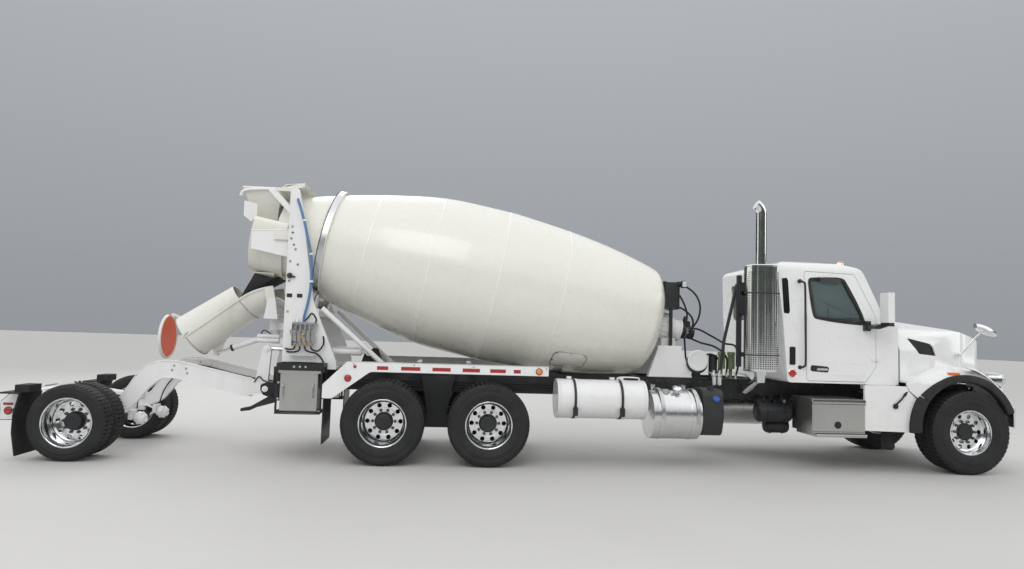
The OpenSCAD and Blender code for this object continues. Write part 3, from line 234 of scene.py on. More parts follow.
def glossy_paint(name, colour, dust=(0.52, 0.49, 0.42), low=0.5, high=1.5, amount=0.16, peel=0.015):
    """Gloss paint with orange peel, faint mottling and road dust that thickens downwards."""
    paint = Finish(name, colour, 0.28)
    cloud = paint.noise(1.7, 5)
    paint.tint(paint.span(cloud, 0.35, 0.75, 0, 0.10), [c * 0.88 for c in colour])
    height = paint.span(paint.along("Z"), low, high, amount, 0.0)
    paint.tint(paint.join("MULTIPLY", height, paint.span(paint.noise(6, 3), 0.3, 0.7)), dust)
    paint.vary("Roughness", paint.noise(9, 4), 0.2, 0.38)
    paint.bump(paint.noise(70, 2), peel * 0.3, 0.001)
    return paint.coat(0.5)


def stained_paint(name, colour, stain=(0.50, 0.47, 0.38), amount=0.4):
    """Paint of the mixer's gear, with cement haze, runs and small splashes."""
    paint = Finish(name, colour, 0.38)
    runs = paint.noise(5, 6, (1, 1, 0.16))
    paint.tint(paint.span(runs, 0.48, 0.78, 0, amount), stain)
    spots = paint.cells(34)
    paint.tint(paint.span(spots, 0.05, 0.09, 0.35, 0), (0.60, 0.59, 0.55))
    paint.vary("Roughness", paint.noise(7, 5), 0.28, 0.55)
    paint.bump(paint.noise(120, 4), 0.08, 0.001)
    return paint.coat(0.25, 0.12)


def black_paint(name, colour, dust=0.3):
    """Satin chassis black with pale dust on it."""
    paint = Finish(name, colour, 0.45)
    paint.tint(paint.span(paint.noise(4, 7), 0.5, 0.8, 0, dust), (0.13, 0.12, 0.105))
    paint.vary("Roughness", paint.noise(11, 4), 0.34, 0.62)
    return paint.bump(paint.noise(90, 4), 0.12, 0.001)


def bright_metal(name, colour=(0.84, 0.85, 0.86), roughness=0.09):
    """Chrome with a slight haze."""
    metal = Finish(name, colour, roughness, 1.0)
    metal.vary("Roughness", metal.noise(6, 5), roughness * 0.6, roughness * 2.2)
    metal.tint(metal.span(metal.noise(3, 5), 0.5, 0.8, 0, 0.25), [c * 0.72 for c in colour])
    return metal


def brushed_sheet(name, colour, stretch, roughness=0.3):
    """Brushed stainless or plain aluminium; stretch gives the way of the brushing."""
    metal = Finish(name, colour, roughness, 1.0)
    lines = metal.noise(60, 3, stretch)
    metal.vary("Roughness", lines, roughness * 0.75, roughness * 1.35)
    metal.tint(metal.span(metal.noise(2.2, 6), 0.45, 0.75, 0, 0.4), [c * 0.62 for c in colour])
    return metal.bump(lines, 0.05, 0.0006)


def tyre_rubber():
    rubber = Finish("tyre_rubber_finish", (0.0125, 0.0128, 0.014), 0.68)
    rubber.tint(rubber.span(rubber.noise(5, 6), 0.42, 0.8, 0, 0.4), (0.036, 0.034, 0.031))
    rubber.vary("Roughness", rubber.noise(14, 4), 0.55, 0.85)
    return rubber.bump(rubber.noise(160, 3), 0.15, 0.001)


def inside(paint, axis, low, high, mirror=False):
    """1 where a coordinate lies between two values; mirror takes it without its sign."""
    value = paint.along(axis)
    if mirror:
        value = paint.join("ABSOLUTE", value, 0)
    return paint.join("MULTIPLY", paint.join("GREATER_THAN", value, low),
                      paint.join("LESS_THAN", value, high))


def with_black(paint, mask):
    """Makes the masked part of a paint matt black rubber."""
    paint.tint(mask, (0.020, 0.021, 0.023))
    rough = paint.shader.inputs["Roughness"]
    mix = paint.node("ShaderNodeMix")
    paint.link(mask, mix.inputs["Factor"])
    if rough.links:
        paint.link(rough.links[0].from_socket, mix.inputs["A"])
    mix.inputs["B"].default_value = 0.62
    paint.link(mix.outputs["Result"], rough)
    return paint


def black_plastic(name, colour=(0.022, 0.023, 0.025), roughness=0.5):
    plastic = Finish(name, colour, roughness)
    plastic.tint(plastic.span(plastic.noise(5, 5), 0.5, 0.8, 0, 0.35), (0.075, 0.072, 0.068))
    plastic.vary("Roughness", plastic.noise(12, 3), roughness * 0.85, roughness * 1.2)
    return plastic.bump(plastic.noise(420, 2), 0.2, 0.0006)


def lamp_glass(name, colour, strength=0.12):
    """Moulded lens with fine ribs."""
    lens = Finish(name, colour, 0.12)
    ribs = lens.node("ShaderNodeTexWave", bands_direction="Z")
    ribs.inputs["Scale"].default_value = 38
    lens.link(lens.place, ribs.inputs["Vector"])
    lens.bump(ribs.outputs["Fac"], 0.3, 0.002)
    lens.tint(lens.span(lens.noise(30, 3), 0.4, 0.8, 0, 0.25), [c * 0.6 for c in colour])
    return lens.coat(1.0, 0.03).glow(colour, strength)


def dark_glass(name, colour, through):
    """Tinted window glass with a faint haze; through is how much light passes."""
    glass = Finish(name, colour, 0.03)
    glass.tint(glass.span(glass.noise(2.3, 3), 0.4, 0.75, 0, 0.35), [c * 0.7 for c in colour])
    glass.vary("Roughness", glass.noise(8, 4), 0.01, 0.06)
    glass.shader.inputs["Transmission Weight"].default_value = through
    glass.shader.inputs["IOR"].default_value = 1.45
    return glass


def clear_plastic():
    """Clear lamp cover that shows the reflectors behind it."""
    cover = Finish("clear_cover", (0.78, 0.81, 0.83), 0.04)
    cover.vary("Roughness", cover.noise(7, 4), 0.02, 0.08)
    cover.tint(cover.span(cover.noise(20, 4), 0.45, 0.8, 0, 0.2), (0.55, 0.57, 0.58))
    cover.shader.inputs["Alpha"].default_value = 0.42
    return cover.coat(1.0, 0.02)


def polished_rim(name, axle):
    """Polished aluminium with its turned rings."""
    metal = Finish(name, (0.83, 0.84, 0.85), 0.12, 1.0)
    away = metal.reach((axle[0] - SHIFT, 0, axle[1]))
    turned = metal.node("ShaderNodeMath", operation="SINE")
    metal.link(metal.join("MULTIPLY", away, 1900.0), turned.inputs[0])
    metal.bump(turned.outputs[0], 0.035, 0.0006)
    metal.tint(metal.span(metal.noise(9, 6), 0.45, 0.75, 0, 0.45), (0.50, 0.50, 0.49))
    metal.vary("Roughness", metal.noise(12, 4), 0.07, 0.2)
    return metal


FINISHES = {}


def finish(name):
    return FINISHES[name].material


def at(x, y, z):
    return Vector((x - SHIFT, y, z))


def turns(count):
    """Evenly spaced angles round a full turn."""
    return [math.tau * k / count for k in range(count)]


def loop_x(x, y, z, radius, count):
    """Points of a circle round a line along X."""
    return [at(x, y + radius * math.cos(a), z + radius * math.sin(a)) for a in turns(count)]


def wheel_ring(y, radius, count=72):
    """Points of a circle round the Y axis."""
    return [(radius * math.cos(a), y, radius * math.sin(a)) for a in turns(count)]


def soft_square(count, power):
    """Points of a square with round corners, of half width 1."""
    return [[math.copysign(abs(c) ** power, c) for c in (math.cos(a), math.sin(a))] for a in turns(count)]


def drum_point(s, angle, radius):
    """A point of the drum: s along its axis, angle from its right side up."""
    up = radius * math.sin(angle)
    x = DRUM_PLACE[0] + s * math.cos(DRUM_TILT) + up * math.sin(DRUM_TILT)
    z = DRUM_PLACE[1] - s * math.sin(DRUM_TILT) + up * math.cos(DRUM_TILT)
    return Vector((x - SHIFT, -radius * math.cos(angle), z))


def drum_ring(s, radius, sides=DRUM_SIDES):
    """A ring of points round the drum's axis."""
    return [drum_point(s, a, radius) for a in turns(sides)]


def chute_point(u, y, w):
    """A point beside the chute's end: u along the chute, w square to it."""
    x = CHUTE_END[0] + math.cos(CHUTE_SLOPE) * u - math.sin(CHUTE_SLOPE) * w
    z = CHUTE_END[1] + math.sin(CHUTE_SLOPE) * u + math.cos(CHUTE_SLOPE) * w
    return Vector((x - SHIFT, y, z))


class Shape:
    """Collects faces in the row frame and turns them into one piece."""

    def __init__(self):
        self.mesh = bmesh.new()

    def block(self, low, high, edge=0.0, turn=None):
        """A box between two corners, in the row frame, with its edges eased."""
        low, high = Vector(low), Vector(high)
        made = bmesh.ops.create_cube(self.mesh, size=1)["verts"]
        size = [abs(b - a) for a, b in zip(low, high)]
        place = Matrix.Translation((low + high) / 2)
        if turn is not None:
            place = place @ turn.to_4x4()
        bmesh.ops.transform(self.mesh, verts=made, matrix=place @ Matrix.Diagonal((*size, 1)))
        if edge:
            edges = {e for v in made for e in v.link_edges}
            bmesh.ops.bevel(self.mesh, geom=list(edges), offset=edge, segments=2, affect="EDGES")
        return self

    def box(self, low, high, edge=0.0):
        """A box between two corners given as places of the truck."""
        return self.block(at(*low), at(*high), edge)

    def rings(self, rings, closed=False, caps=True):
        rows = [[self.mesh.verts.new(p) for p in ring] for ring in rings]
        count = len(rows[0])
        pairs = list(zip(rows, rows[1:])) + ([(rows[-1], rows[0])] if closed else [])
        for first, second in pairs:
            for i in range(count):
                j = (i + 1) % count
                self.mesh.faces.new((first[i], first[j], second[j], second[i]))
        if caps and not closed:
            self.mesh.faces.new(list(reversed(rows[0])))
            self.mesh.faces.new(rows[-1])
        return self

    def tube(self, path, radius, sides=12, loop=False):
        """A round bar along a path."""
        path = [Vector(p) for p in path]
        count = len(path)
        rings = []
        side = None
        for i, point in enumerate(path):
            before = path[i - 1] if i or loop else point
            after = path[(i + 1) % count] if i < count - 1 or loop else point
            way = (after - before).normalized()
            if side is None:
                side = way.orthogonal().normalized()
            side = (side - way * side.dot(way)).normalized()
            cross = way.cross(side)
            reach = radius[i] if isinstance(radius, (list, tuple)) else radius
            rings.append([point + (side * math.cos(a) + cross * math.sin(a)) * reach
                          for a in turns(sides)])
        return self.rings(rings, closed=loop)

    def turned(self, start, axis, profile, sides=24):
        """A turned form: profile holds (distance along axis, radius)."""
        axis = Vector(axis).normalized()
        side = axis.orthogonal().normalized()
        cross = axis.cross(side)
        start = Vector(start)
        rings = [[start + axis * along + (side * math.cos(a) + cross * math.sin(a)) * max(radius, 0.0004)
                  for a in turns(sides)] for along, radius in profile]
        return self.rings(rings)

    def plate(self, outline, thickness):
        """A flat plate: outline points, pushed out by the vector thickness."""
        return self.rings([[Vector(p) for p in outline], [Vector(p) + Vector(thickness) for p in outline]])

    def bent(self, points, steps, radius, sides=12):
        """A round bar along a smooth line through points of the truck."""
        return self.tube(curve([at(*p) for p in points], steps), radius, sides)

    def finished(self, name):
        """The plain mesh, with its normals outwards."""
        bmesh.ops.recalc_face_normals(self.mesh, faces=self.mesh.faces)
        data = bpy.data.meshes.new(name)
        self.mesh.to_mesh(data)
        self.mesh.free()
        return data

    def piece(self, name, body, look, slot=None, smooth=True):
        return settle(name, self.finished(name), body, look, smooth)


def settle(name, data, body, look, smooth=True):
    """Links a mesh as a piece that rides on a body, in the finish that its look names."""
    piece = bpy.data.objects.new(name, data)
    bpy.context.scene.collection.objects.link(piece)
    data.materials.clear()
    data.materials.append(finish(look))
    if smooth:
        for polygon in data.polygons:
            polygon.use_smooth = True
        data.set_sharp_from_angle(angle=SHARP_ANGLE)
    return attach(piece, body)


def curve(points, steps=6, loop=False):
    """Points of a smooth line through the given ones."""
    points = [Vector(p) for p in points]
    count = len(points)
    line = []
    for i in range(count if loop else count - 1):
        p = [points[(i + k) % count] if loop else points[min(max(i + k, 0), count - 1)]
             for k in (-1, 0, 1, 2)]
        for k in range(steps):
            t = k / steps
            line.append(0.5 * (2 * p[1] + (p[2] - p[0]) * t + (2 * p[0] - 5 * p[1] + 4 * p[2] - p[3]) * t
                               * t + (3 * p[1] - p[0] - 3 * p[2] + p[3]) * t ** 3))
    if not loop:
        line.append(points[-1])
    return line


def repeat_tree(name, round_axis):
    """A Geometry Nodes tree that repeats the input round the Y axis or along a step."""
    tree = bpy.data.node_groups.new(name, "GeometryNodeTree")
    sockets = {}
    for label, kind in (("geometry", "Geometry"), ("count", "Int"), ("step", "Vector"), ("rows", "Int"),
                        ("row_step", "Vector"), ("material", "Material")):
        made = tree.interface.new_socket(label, in_out="INPUT", socket_type="NodeSocket" + kind)
        sockets[label] = made.identifier
    tree.interface.new_socket("Geometry", in_out="OUTPUT", socket_type="NodeSocketGeometry")

    def add(kind, inputs, operation=None):
        """A node whose inputs are linked as the table says; gives back its first output."""
        node = tree.nodes.new(kind)
        if operation:
            node.operation = operation
        for socket, start in inputs.items():
            tree.links.new(start, node.inputs[socket])
        return node.outputs[0] if node.outputs else None

    given = tree.nodes.new("NodeGroupInput").outputs
    index = add("GeometryNodeInputIndex", {})
    total = add("ShaderNodeMath", {0: given["count"], 1: given["rows"]}, "MULTIPLY")
    turn = add("ShaderNodeMath", {0: index, 1: given["count"]}, "MODULO")
    row = add("ShaderNodeMath", {0: index, 1: given["count"]}, "DIVIDE")
    whole = add("ShaderNodeMath", {0: row}, "FLOOR")
    first = add("ShaderNodeVectorMath", {0: given["step"], "Scale": turn}, "SCALE")
    second = add("ShaderNodeVectorMath", {0: given["row_step"], "Scale": whole}, "SCALE")
    move = second if round_axis else add("ShaderNodeVectorMath", {0: first, 1: second})
    points = add("GeometryNodePoints", {"Count": total, "Position": move})
    copies = {"Points": points, "Instance": given["geometry"]}
    if round_axis:
        copies["Rotation"] = add("FunctionNodeEulerToRotation", {0: first})
    real = add("GeometryNodeRealizeInstances", {0: add("GeometryNodeInstanceOnPoints", copies)})
    painted = add("GeometryNodeSetMaterial", {"Geometry": real, "Material": given["material"]})
    add("NodeGroupOutput", {0: painted})
    return tree, sockets


TREES = {}


def repeated(shape, kind, count, step, look, rows=1, row_step=(0, 0, 0), place=None):
    """Runs a repeat tree on a shape and returns the plain mesh, moved to its place."""
    if kind not in TREES:
        TREES[kind] = repeat_tree(f"repeat_{kind}", kind == "round")
    tree, sockets = TREES[kind]
    holder = bpy.data.objects.new("seed", shape.finished("seed"))
    bpy.context.scene.collection.objects.link(holder)
    modifier = holder.modifiers.new("repeat", "NODES")
    modifier.node_group = tree
    for key, value in (("count", count), ("step", step), ("rows", rows), ("row_step", row_step),
                       ("material", finish(look))):
        modifier[sockets[key]] = value
    holder.update_tag()
    bpy.context.view_layer.update()
    seen = holder.evaluated_get(bpy.context.evaluated_depsgraph_get())
    made = bpy.data.meshes.new_from_object(seen)
    holder.modifiers.clear()
    bpy.data.objects.remove(holder)
    if place is not None:
        made.transform(place)
    return made


def even_shading(data):
    """Shades a mesh smooth by the area of its faces, with its true edges kept."""
    for polygon in data.polygons:
        polygon.use_smooth = True
    data.set_sharp_from_angle(angle=math.radians(25))
    holder = bpy.data.objects.new("holder", data)
    bpy.context.scene.collection.objects.link(holder)
    weigh = holder.modifiers.new("weigh", "WEIGHTED_NORMAL")
    weigh.keep_sharp = True
    bpy.context.view_layer.update()
    made = bpy.data.meshes.new_from_object(holder.evaluated_get(bpy.context.evaluated_depsgraph_get()))
    bpy.data.objects.remove(holder)
    return made


def join_meshes(parts):
    whole = bmesh.new()
    for part in parts:
        whole.from_mesh(part)
    data = bpy.data.meshes.new("joined")
    whole.to_mesh(data)
    whole.free()
    return data


# Height over the horizon and colour: the sky that the camera sees, and the one that is mirrored
SKY_STOPS = ((0.0, (0.30, 0.315, 0.335)), (0.9, (0.60, 0.63, 0.68)))
REFLECTED_STOPS = ((0.22, (0.40, 0.41, 0.40)), (0.27, (0.045, 0.055, 0.045)), (0.50, (0.06, 0.07, 0.06)),
                   (0.56, (0.62, 0.65, 0.68)), (1.0, (1.15, 1.17, 1.2)))
# Name, place, aim, size and power of each lamp
LAMPS = (("key", (-4, -13, 12), (0, 0, 1.5), 9, 650), ("fill", (14, -3, 7), (3, 0, 1.5), 6, 160),
         ("back", (-6, 12, 11), (0, 0, 1.5), 9, 520), ("left", (-15, 2, 6), (-3, 0, 1), 6, 140))


def studio_world():
    """A plain grey sky for the camera, and a ragged dark band low down for what mirrors it."""
    world = bpy.data.worlds.new("studio")
    world.use_nodes = True
    nodes, links = world.node_tree.nodes, world.node_tree.links

    def add(kind, inputs=None, operation=None):
        """A node whose inputs are linked as the table says."""
        node = nodes.new(kind)
        if operation:
            node.operation = operation
        for socket, start in (inputs or {}).items():
            links.new(start, node.inputs[socket])
        return node

    plain = nodes["Background"]
    plain.inputs["Color"].default_value = (0.98, 0.99, 1, 1)
    plain.inputs["Strength"].default_value = 0.92
    way = add("ShaderNodeTexCoord").outputs["Generated"]
    height = add("ShaderNodeSeparateXYZ", {0: way}).outputs["Z"]
    ragged = add("ShaderNodeTexNoise", {"Vector": way})
    ragged.inputs["Scale"].default_value = 5
    ragged.inputs["Detail"].default_value = 1.5
    crest = add("ShaderNodeMath", {0: ragged.outputs["Fac"], 2: height}, "MULTIPLY_ADD")
    crest.inputs[1].default_value = 0.5
    skies = []
    for level, stops in ((height, SKY_STOPS), (crest.outputs[0], REFLECTED_STOPS)):
        ramp = add("ShaderNodeValToRGB", {"Fac": level})
        while len(ramp.color_ramp.elements) < len(stops):
            ramp.color_ramp.elements.new(0.5)
        for stop, (place, colour) in zip(ramp.color_ramp.elements, stops):
            stop.position = place
            stop.color = (*colour, 1)
        skies.append(add("ShaderNodeBackground", {"Color": ramp.outputs["Color"]}).outputs[0])
    ray = add("ShaderNodeLightPath").outputs
    glossy = add("ShaderNodeMixShader", {0: ray["Is Glossy Ray"], 1: plain.outputs[0], 2: skies[1]})
    seen = add("ShaderNodeMath", {0: ray["Is Camera Ray"], 1: ray["Is Transmission Ray"]}, "MAXIMUM")
    choose = add("ShaderNodeMixShader", {0: seen.outputs[0], 1: glossy.outputs[0], 2: skies[0]})
    links.new(choose.outputs[0], nodes["World Output"].inputs["Surface"])
    return world


def stage():
    """Lays the floor, hangs the lamps and sets the camera."""
    scene = bpy.context.scene
    sizes = scene.mixer_sizes
    scene.view_settings.view_transform = "Standard"
    yaw, pitch, roll = CAMERA_TURN
    ahead = Vector((math.sin(yaw) * math.cos(pitch), math.cos(yaw) * math.cos(pitch), math.sin(pitch)))
    side = Vector((math.cos(yaw), -math.sin(yaw), 0))
    up = side.cross(ahead)
    level = side * math.cos(roll) + up * math.sin(roll)
    above = up * math.cos(roll) - side * math.sin(roll)
    camera = bpy.data.objects.new("camera", bpy.data.cameras.new("camera"))
    camera.data.sensor_width = SENSOR
    camera.data.lens = SENSOR * FOCAL_OF_WIDTH
    camera.data.clip_end = 200
    turn = Matrix((level, above, -ahead)).transposed().to_4x4()
    camera.matrix_world = Matrix.Translation(at(*CAMERA_PLACE)) @ turn
    scene.collection.objects.link(camera)
    scene.camera = camera
    scene.world = studio_world()
    for name, place, aim, size, power in LAMPS:
        light = bpy.data.lights.new(name, "AREA")
        light.size = size
        light.energy = power
        source = bpy.data.objects.new(name, light)
        source.location = place
        source.rotation_euler = (Vector(aim) - Vector(place)).to_track_quat("-Z", "Y").to_euler()
        scene.collection.objects.link(source)
    ground = Finish("floor_finish", sizes.floor, 0.75)
    ground.tint(ground.span(ground.noise(0.5, 6), 0.4, 0.7, 0, 0.3), [c * 0.9 for c in sizes.floor])
    ground.bump(ground.noise(40, 4), 0.1, 0.002)
    floor = Shape().plate([(-80, -60, -0.02), (80, -60, -0.02), (80, 90, -0.02), (-80, 90, -0.02)],
                          (0, 0, 0.02))
    data = floor.finished("floor")
    data.materials.append(ground.material)
    plane = bpy.data.objects.new("floor", data)
    scene.collection.objects.link(plane)


def finishes():
    """Mixes the paints, metals, rubber and glass, and gives each packed part its own."""
    sizes = bpy.context.scene.mixer_sizes
    white = tuple(sizes.paint)
    FINISHES.update({"white": glossy_paint("white_gloss", white),
                     "gear_white": stained_paint("gear_white", [c * 0.98 for c in white], amount=0.22),
                     "cream": glossy_paint("drum_cream", tuple(sizes.drum_paint), (0.55, 0.52, 0.42), 1.2,
                                           3.2, 0.12, 0.01),
                     "chute": stained_paint("chute_white", (0.73, 0.725, 0.67), amount=0.4),
                     "flap": stained_paint("flap_red", tuple(sizes.flap_paint), (0.70, 0.13, 0.05), 0.15),
                     "frame": black_paint("frame_black", tuple(sizes.frame_paint)),
                     "glass": dark_glass("window_glass", (0.42, 0.50, 0.49), 0.92),
                     "black_glass": dark_glass("black_glass", (0.012, 0.015, 0.016), 0.0),
                     "trim": black_plastic("cab_trim_grey", (0.06, 0.06, 0.065), 0.6),
                     "rubber": tyre_rubber(), "chrome": bright_metal("chrome"),
                     "rod": bright_metal("piston_chrome", (0.80, 0.81, 0.83), 0.06),
                     "stainless": brushed_sheet("stainless_sheet", (0.60, 0.595, 0.58), (0.04, 1, 1)),
                     "tank": brushed_sheet("tank_aluminium", (0.74, 0.74, 0.74), (1, 0.04, 0.04), 0.24),
                     "plastic": black_plastic("black_plastic"),
                     "soft": black_plastic("rubber_sheet", (0.018, 0.018, 0.019), 0.75),
                     "steel": brushed_sheet("worn_steel", (0.42, 0.41, 0.39), (1, 1, 0.1), 0.42),
                     "track": brushed_sheet("track_steel", (0.66, 0.67, 0.68), (1, 1, 0.1), 0.34),
                     "nut": bright_metal("nut_steel", (0.66, 0.66, 0.67), 0.2),
                     "red_lens": lamp_glass("red_lens", (0.42, 0.012, 0.010)),
                     "amber_lens": lamp_glass("amber_lens", (0.75, 0.20, 0.02)),
                     "clear_lens": lamp_glass("clear_lens", (0.62, 0.65, 0.67), 0.05),
                     "blue": black_plastic("blue_hose", (0.085, 0.19, 0.40), 0.4),
                     "blue_cap": black_plastic("blue_cap", (0.02, 0.08, 0.34), 0.4),
                     "green": black_plastic("filter_green", (0.16, 0.22, 0.10), 0.5),
                     # The tapes take the lens finish and glow faintly: a painted sheen, since tape is no
                     # lamp.
                     "red_tape_painted_glow": lamp_glass("red_tape_painted_glow", (0.36, 0.012, 0.018), 0.03),
                     "white_tape_painted_glow": lamp_glass("white_tape_painted_glow", (0.80, 0.81, 0.82), 0.03),
                     # The lug nuts are dark steel: painted shade, standing in for the shadows round the
                     # bright nuts.
                     "lug": bright_metal("lug_steel_painted_shade", (0.20, 0.20, 0.205), 0.28),
                     "seam": glossy_paint("weld_cream", (0.84, 0.835, 0.78), (0.50, 0.47, 0.37), 1.2, 3.6,
                                          0.1), "clear": clear_plastic(),
                     "brass": brushed_sheet("valve_brass", (0.55, 0.38, 0.16), (1, 1, 1), 0.3),
                     "bolt": black_plastic("painted_bolt", (0.05, 0.05, 0.053), 0.4),})
    body = glossy_paint("cab_white", white)
    arch = body.reach(at(ARCH[0], 0, ARCH[1]))
    band = body.join("MULTIPLY", body.join("LESS_THAN", arch, 0.7182), inside(body, "Y", 1.146, 1.3, True))
    FINISHES["cab_white"] = with_black(body, band)
    mirror = glossy_paint("mirror_white", white)
    low = mirror.join("LESS_THAN", mirror.along("Z"), 2.001)
    near = mirror.join("LESS_THAN", mirror.join("ABSOLUTE", mirror.along("Y"), 0), 1.245)
    FINISHES["mirror_white"] = with_black(mirror, mirror.join("MAXIMUM", low, near))
    guard = stained_paint("guard_white", [c * 0.98 for c in white], amount=0.2)
    sheet = guard.join("MULTIPLY", inside(guard, "X", -1.4105 - SHIFT, -1.3975 - SHIFT),
                       guard.join("LESS_THAN", guard.along("Z"), 0.9295))
    FINISHES["guard_white"] = with_black(guard,
                                         guard.join("MULTIPLY", sheet, inside(guard, "Y", 0, 1.195, True)))
    for name, axle in (("front_rims", FRONT_AXLE), ("tandem_front_rims", TANDEM_FRONT),
                       ("tandem_rear_rims", TANDEM_REAR), ("booster_rims", BOOSTER_AXLE)):
        FINISHES[name] = polished_rim(name + "_polish", axle)
    dress = {
        "frame": "chassis_frame front_axle drive_axles engine knuckle_right knuckle_left",
        "cab_white": "cab_shell hood",
        "mirror_white": "mirror_right mirror_left",
        "guard_white": "wheel_guards",
        "white": "door_right door_left water_tank",
        "gear_white": "front_pedestal drum_drive rear_pedestal chute_swivel chute_lift_barrel "
                      "booster_frame booster_barrels",
        "cream": "drum charge_hopper collector",
        "chute": "main_chute fold_chute",
        "flap": "end_flap",
        "glass": "cab_glass door_glass_right door_glass_left",
        "trim": "cab_interior",
        "chrome": "bumper grille_and_lamps exhaust_stack",
        "tank": "fuel_tanks",
        "plastic": "fluid_tank oil_cooler",
        "stainless": "tool_box rear_cabinets",
        "soft": "booster_guards",
        "steel": "roller_right roller_left",
        "rod": "chute_lift_rod booster_rods",
        "front_rims": "front_rim_right front_rim_left",
        "tandem_front_rims": "drive_rims_fr drive_rims_fl",
        "tandem_rear_rims": "drive_rims_rr drive_rims_rl",
        "booster_rims": "booster_rims_right booster_rims_left",
        "rubber": "front_tyre_right front_tyre_left drive_tyres_fr drive_tyres_fl drive_tyres_rr "
                  "drive_tyres_rl booster_tyres_right booster_tyres_left",
    }
    for key, names in dress.items():
        for name in names.split():
            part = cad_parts[name]
            part.data.materials.clear()
            part.data.materials.append(finish(key))


def tyre_mesh(radius, width, pitches, depth, wide):
    """One tyre about the Y axis: carcass, sidewall rings, shoulder lugs and tread ribs."""
    half = width / 2
    rim = 0.291
    base = radius - depth
    wall = radius - rim
    profile = [(-half + 0.034, rim), (-half + 0.022, rim + 0.016), (-half + 0.008, rim + wall * 0.28),
               (-half + 0.0035, rim + wall * 0.36), (-half + 0.0005, rim + wall * 0.40),
               (-half, rim + wall * 0.52), (-half + 0.0035, rim + wall * 0.555),
               (-half + 0.0035, rim + wall * 0.64), (-half + 0.001, rim + wall * 0.665),
               (-half + 0.007, rim + wall * 0.80), (-half + 0.012, rim + wall * 0.86),
               (-half + 0.026, base)]
    full = profile + [(-a, r) for a, r in reversed(profile)]
    body = Shape()
    body.rings([wheel_ring(y, r) for y, r in full], caps=False)
    carcass = body.finished("carcass")
    arc = math.tau / pitches
    lugs = Shape()
    count = 5 if wide else 4
    groove = 0.011
    tread = width - 0.046
    rib = (tread - groove * (count - 1)) / count
    for i in range(count):
        low = -tread / 2 + i * (rib + groove)
        shoulder = i in (0, count - 1)
        share = 0.72 if shoulder else 0.84
        skew = 0.18 * (1 if i % 2 else -1)
        corners = []
        for y, lean in ((low, -skew), (low + rib, skew)):
            for end in (-0.5, 0.5):
                corners.append((end * share * arc + lean * arc * 0.5, y))
        order = [corners[0], corners[1], corners[3], corners[2]]
        inner, outer = [], []
        for a, y in order:
            drop = 0.006 if shoulder and abs(y) > tread / 2 - 0.002 else 0.0
            inner.append(((base - 0.004) * math.cos(a), y, (base - 0.004) * math.sin(a)))
            outer.append(((radius - drop) * math.cos(a), y, (radius - drop) * math.sin(a)))
        lugs.rings([inner, outer])
        if shoulder:
            sign = -1 if i == 0 else 1
            edge = sign * (half - 0.023)
            far = sign * (half - 0.004)
            ring = []
            for r in (radius - 0.008, radius - 0.040):
                y = edge if r > radius - 0.02 else far
                for a in (-0.33 * arc, 0.33 * arc):
                    ring.append(Vector((r * math.cos(a), y, r * math.sin(a))))
            front = [ring[0], ring[1], ring[3], ring[2]]
            lugs.rings([[p - Vector((0.012, sign * 0.012, 0)) for p in front], front])
    blocks = repeated(lugs, "round", pitches, (0, arc, 0), "rubber")
    return join_meshes([carcass, blocks])


def tyres():
    """Moulds the tyres: sidewall rings, grooved ribs and shoulder lugs."""
    sizes = bpy.context.scene.mixer_sizes
    kinds = {}
    # Node, body, axle, width, middle lines, one wide tyre or twins
    rows = []
    for side, name in SIDES:
        rows.append((f"front_tyre_{name}", f"front_wheel_{name}", FRONT_AXLE, FRONT_WIDTH,
                     [side * (1.25 - FRONT_WIDTH / 2)], True))
        mid = 1.19 - BOOSTER_WIDTH - TWIN_GAP / 2
        rows.append((f"booster_tyres_{name}", f"booster_wheels_{name}", BOOSTER_AXLE, BOOSTER_WIDTH,
                     [side * (mid + k * (BOOSTER_WIDTH + TWIN_GAP) / 2) for k in (-1, 1)], False))
    for code, axle in (("f", TANDEM_FRONT), ("r", TANDEM_REAR)):
        for side, name in SIDES:
            mid = 1.2 - TANDEM_WIDTH - TWIN_GAP / 2
            rows.append((f"drive_tyres_{code}{name[0]}", f"drive_wheels_{code}{name[0]}", axle, TANDEM_WIDTH,
                         [side * (mid + k * (TANDEM_WIDTH + TWIN_GAP) / 2) for k in (-1, 1)], False))
    for node, body, axle, width, lines, wide in rows:
        key = (axle[1], width)
        if key not in kinds:
            kinds[key] = tyre_mesh(axle[1], width, sizes.tread_pitches, sizes.tread_depth, wide)
        parts = []
        for y in lines:
            copy = kinds[key].copy()
            copy.transform(Matrix.Translation(at(axle[0], y, axle[1])))
            parts.append(copy)
        piece = settle(f"{node}_tread", join_meshes(parts), body, "rubber")
        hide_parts(node)


def pierced_disc(shape, near, far, outer, inner, count, pitch, hole):
    """A flat disc square to Y with a bore and a ring of round holes."""
    face = bmesh.new()
    rings = [(0, 0, outer, 96), (0, 0, inner, 48)]
    rings += [(pitch * math.cos(math.tau * k / count), pitch * math.sin(math.tau * k / count), hole, 20)
              for k in range(count)]
    for x, z, radius, steps in rings:
        loop = [face.verts.new((x + radius * math.cos(math.tau * k / steps), near,
                                z + radius * math.sin(math.tau * k / steps))) for k in range(steps)]
        for a, b in zip(loop, loop[1:] + loop[:1]):
            face.edges.new((a, b))
    bmesh.ops.triangle_fill(face, use_beauty=True, edges=face.edges[:])
    made = bmesh.ops.extrude_face_region(face, geom=face.faces[:])["geom"]
    moved = [item for item in made if isinstance(item, bmesh.types.BMVert)]
    bmesh.ops.translate(face, verts=moved, vec=(0, far - near, 0))
    data = bpy.data.meshes.new("disc")
    face.to_mesh(data)
    face.free()
    shape.mesh.from_mesh(data)


def place_part(shape, matrix, name, body, look, node=None):
    bmesh.ops.transform(shape.mesh, verts=shape.mesh.verts, matrix=matrix)
    piece = shape.piece(name, body, look)
    if node:
        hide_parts(node)


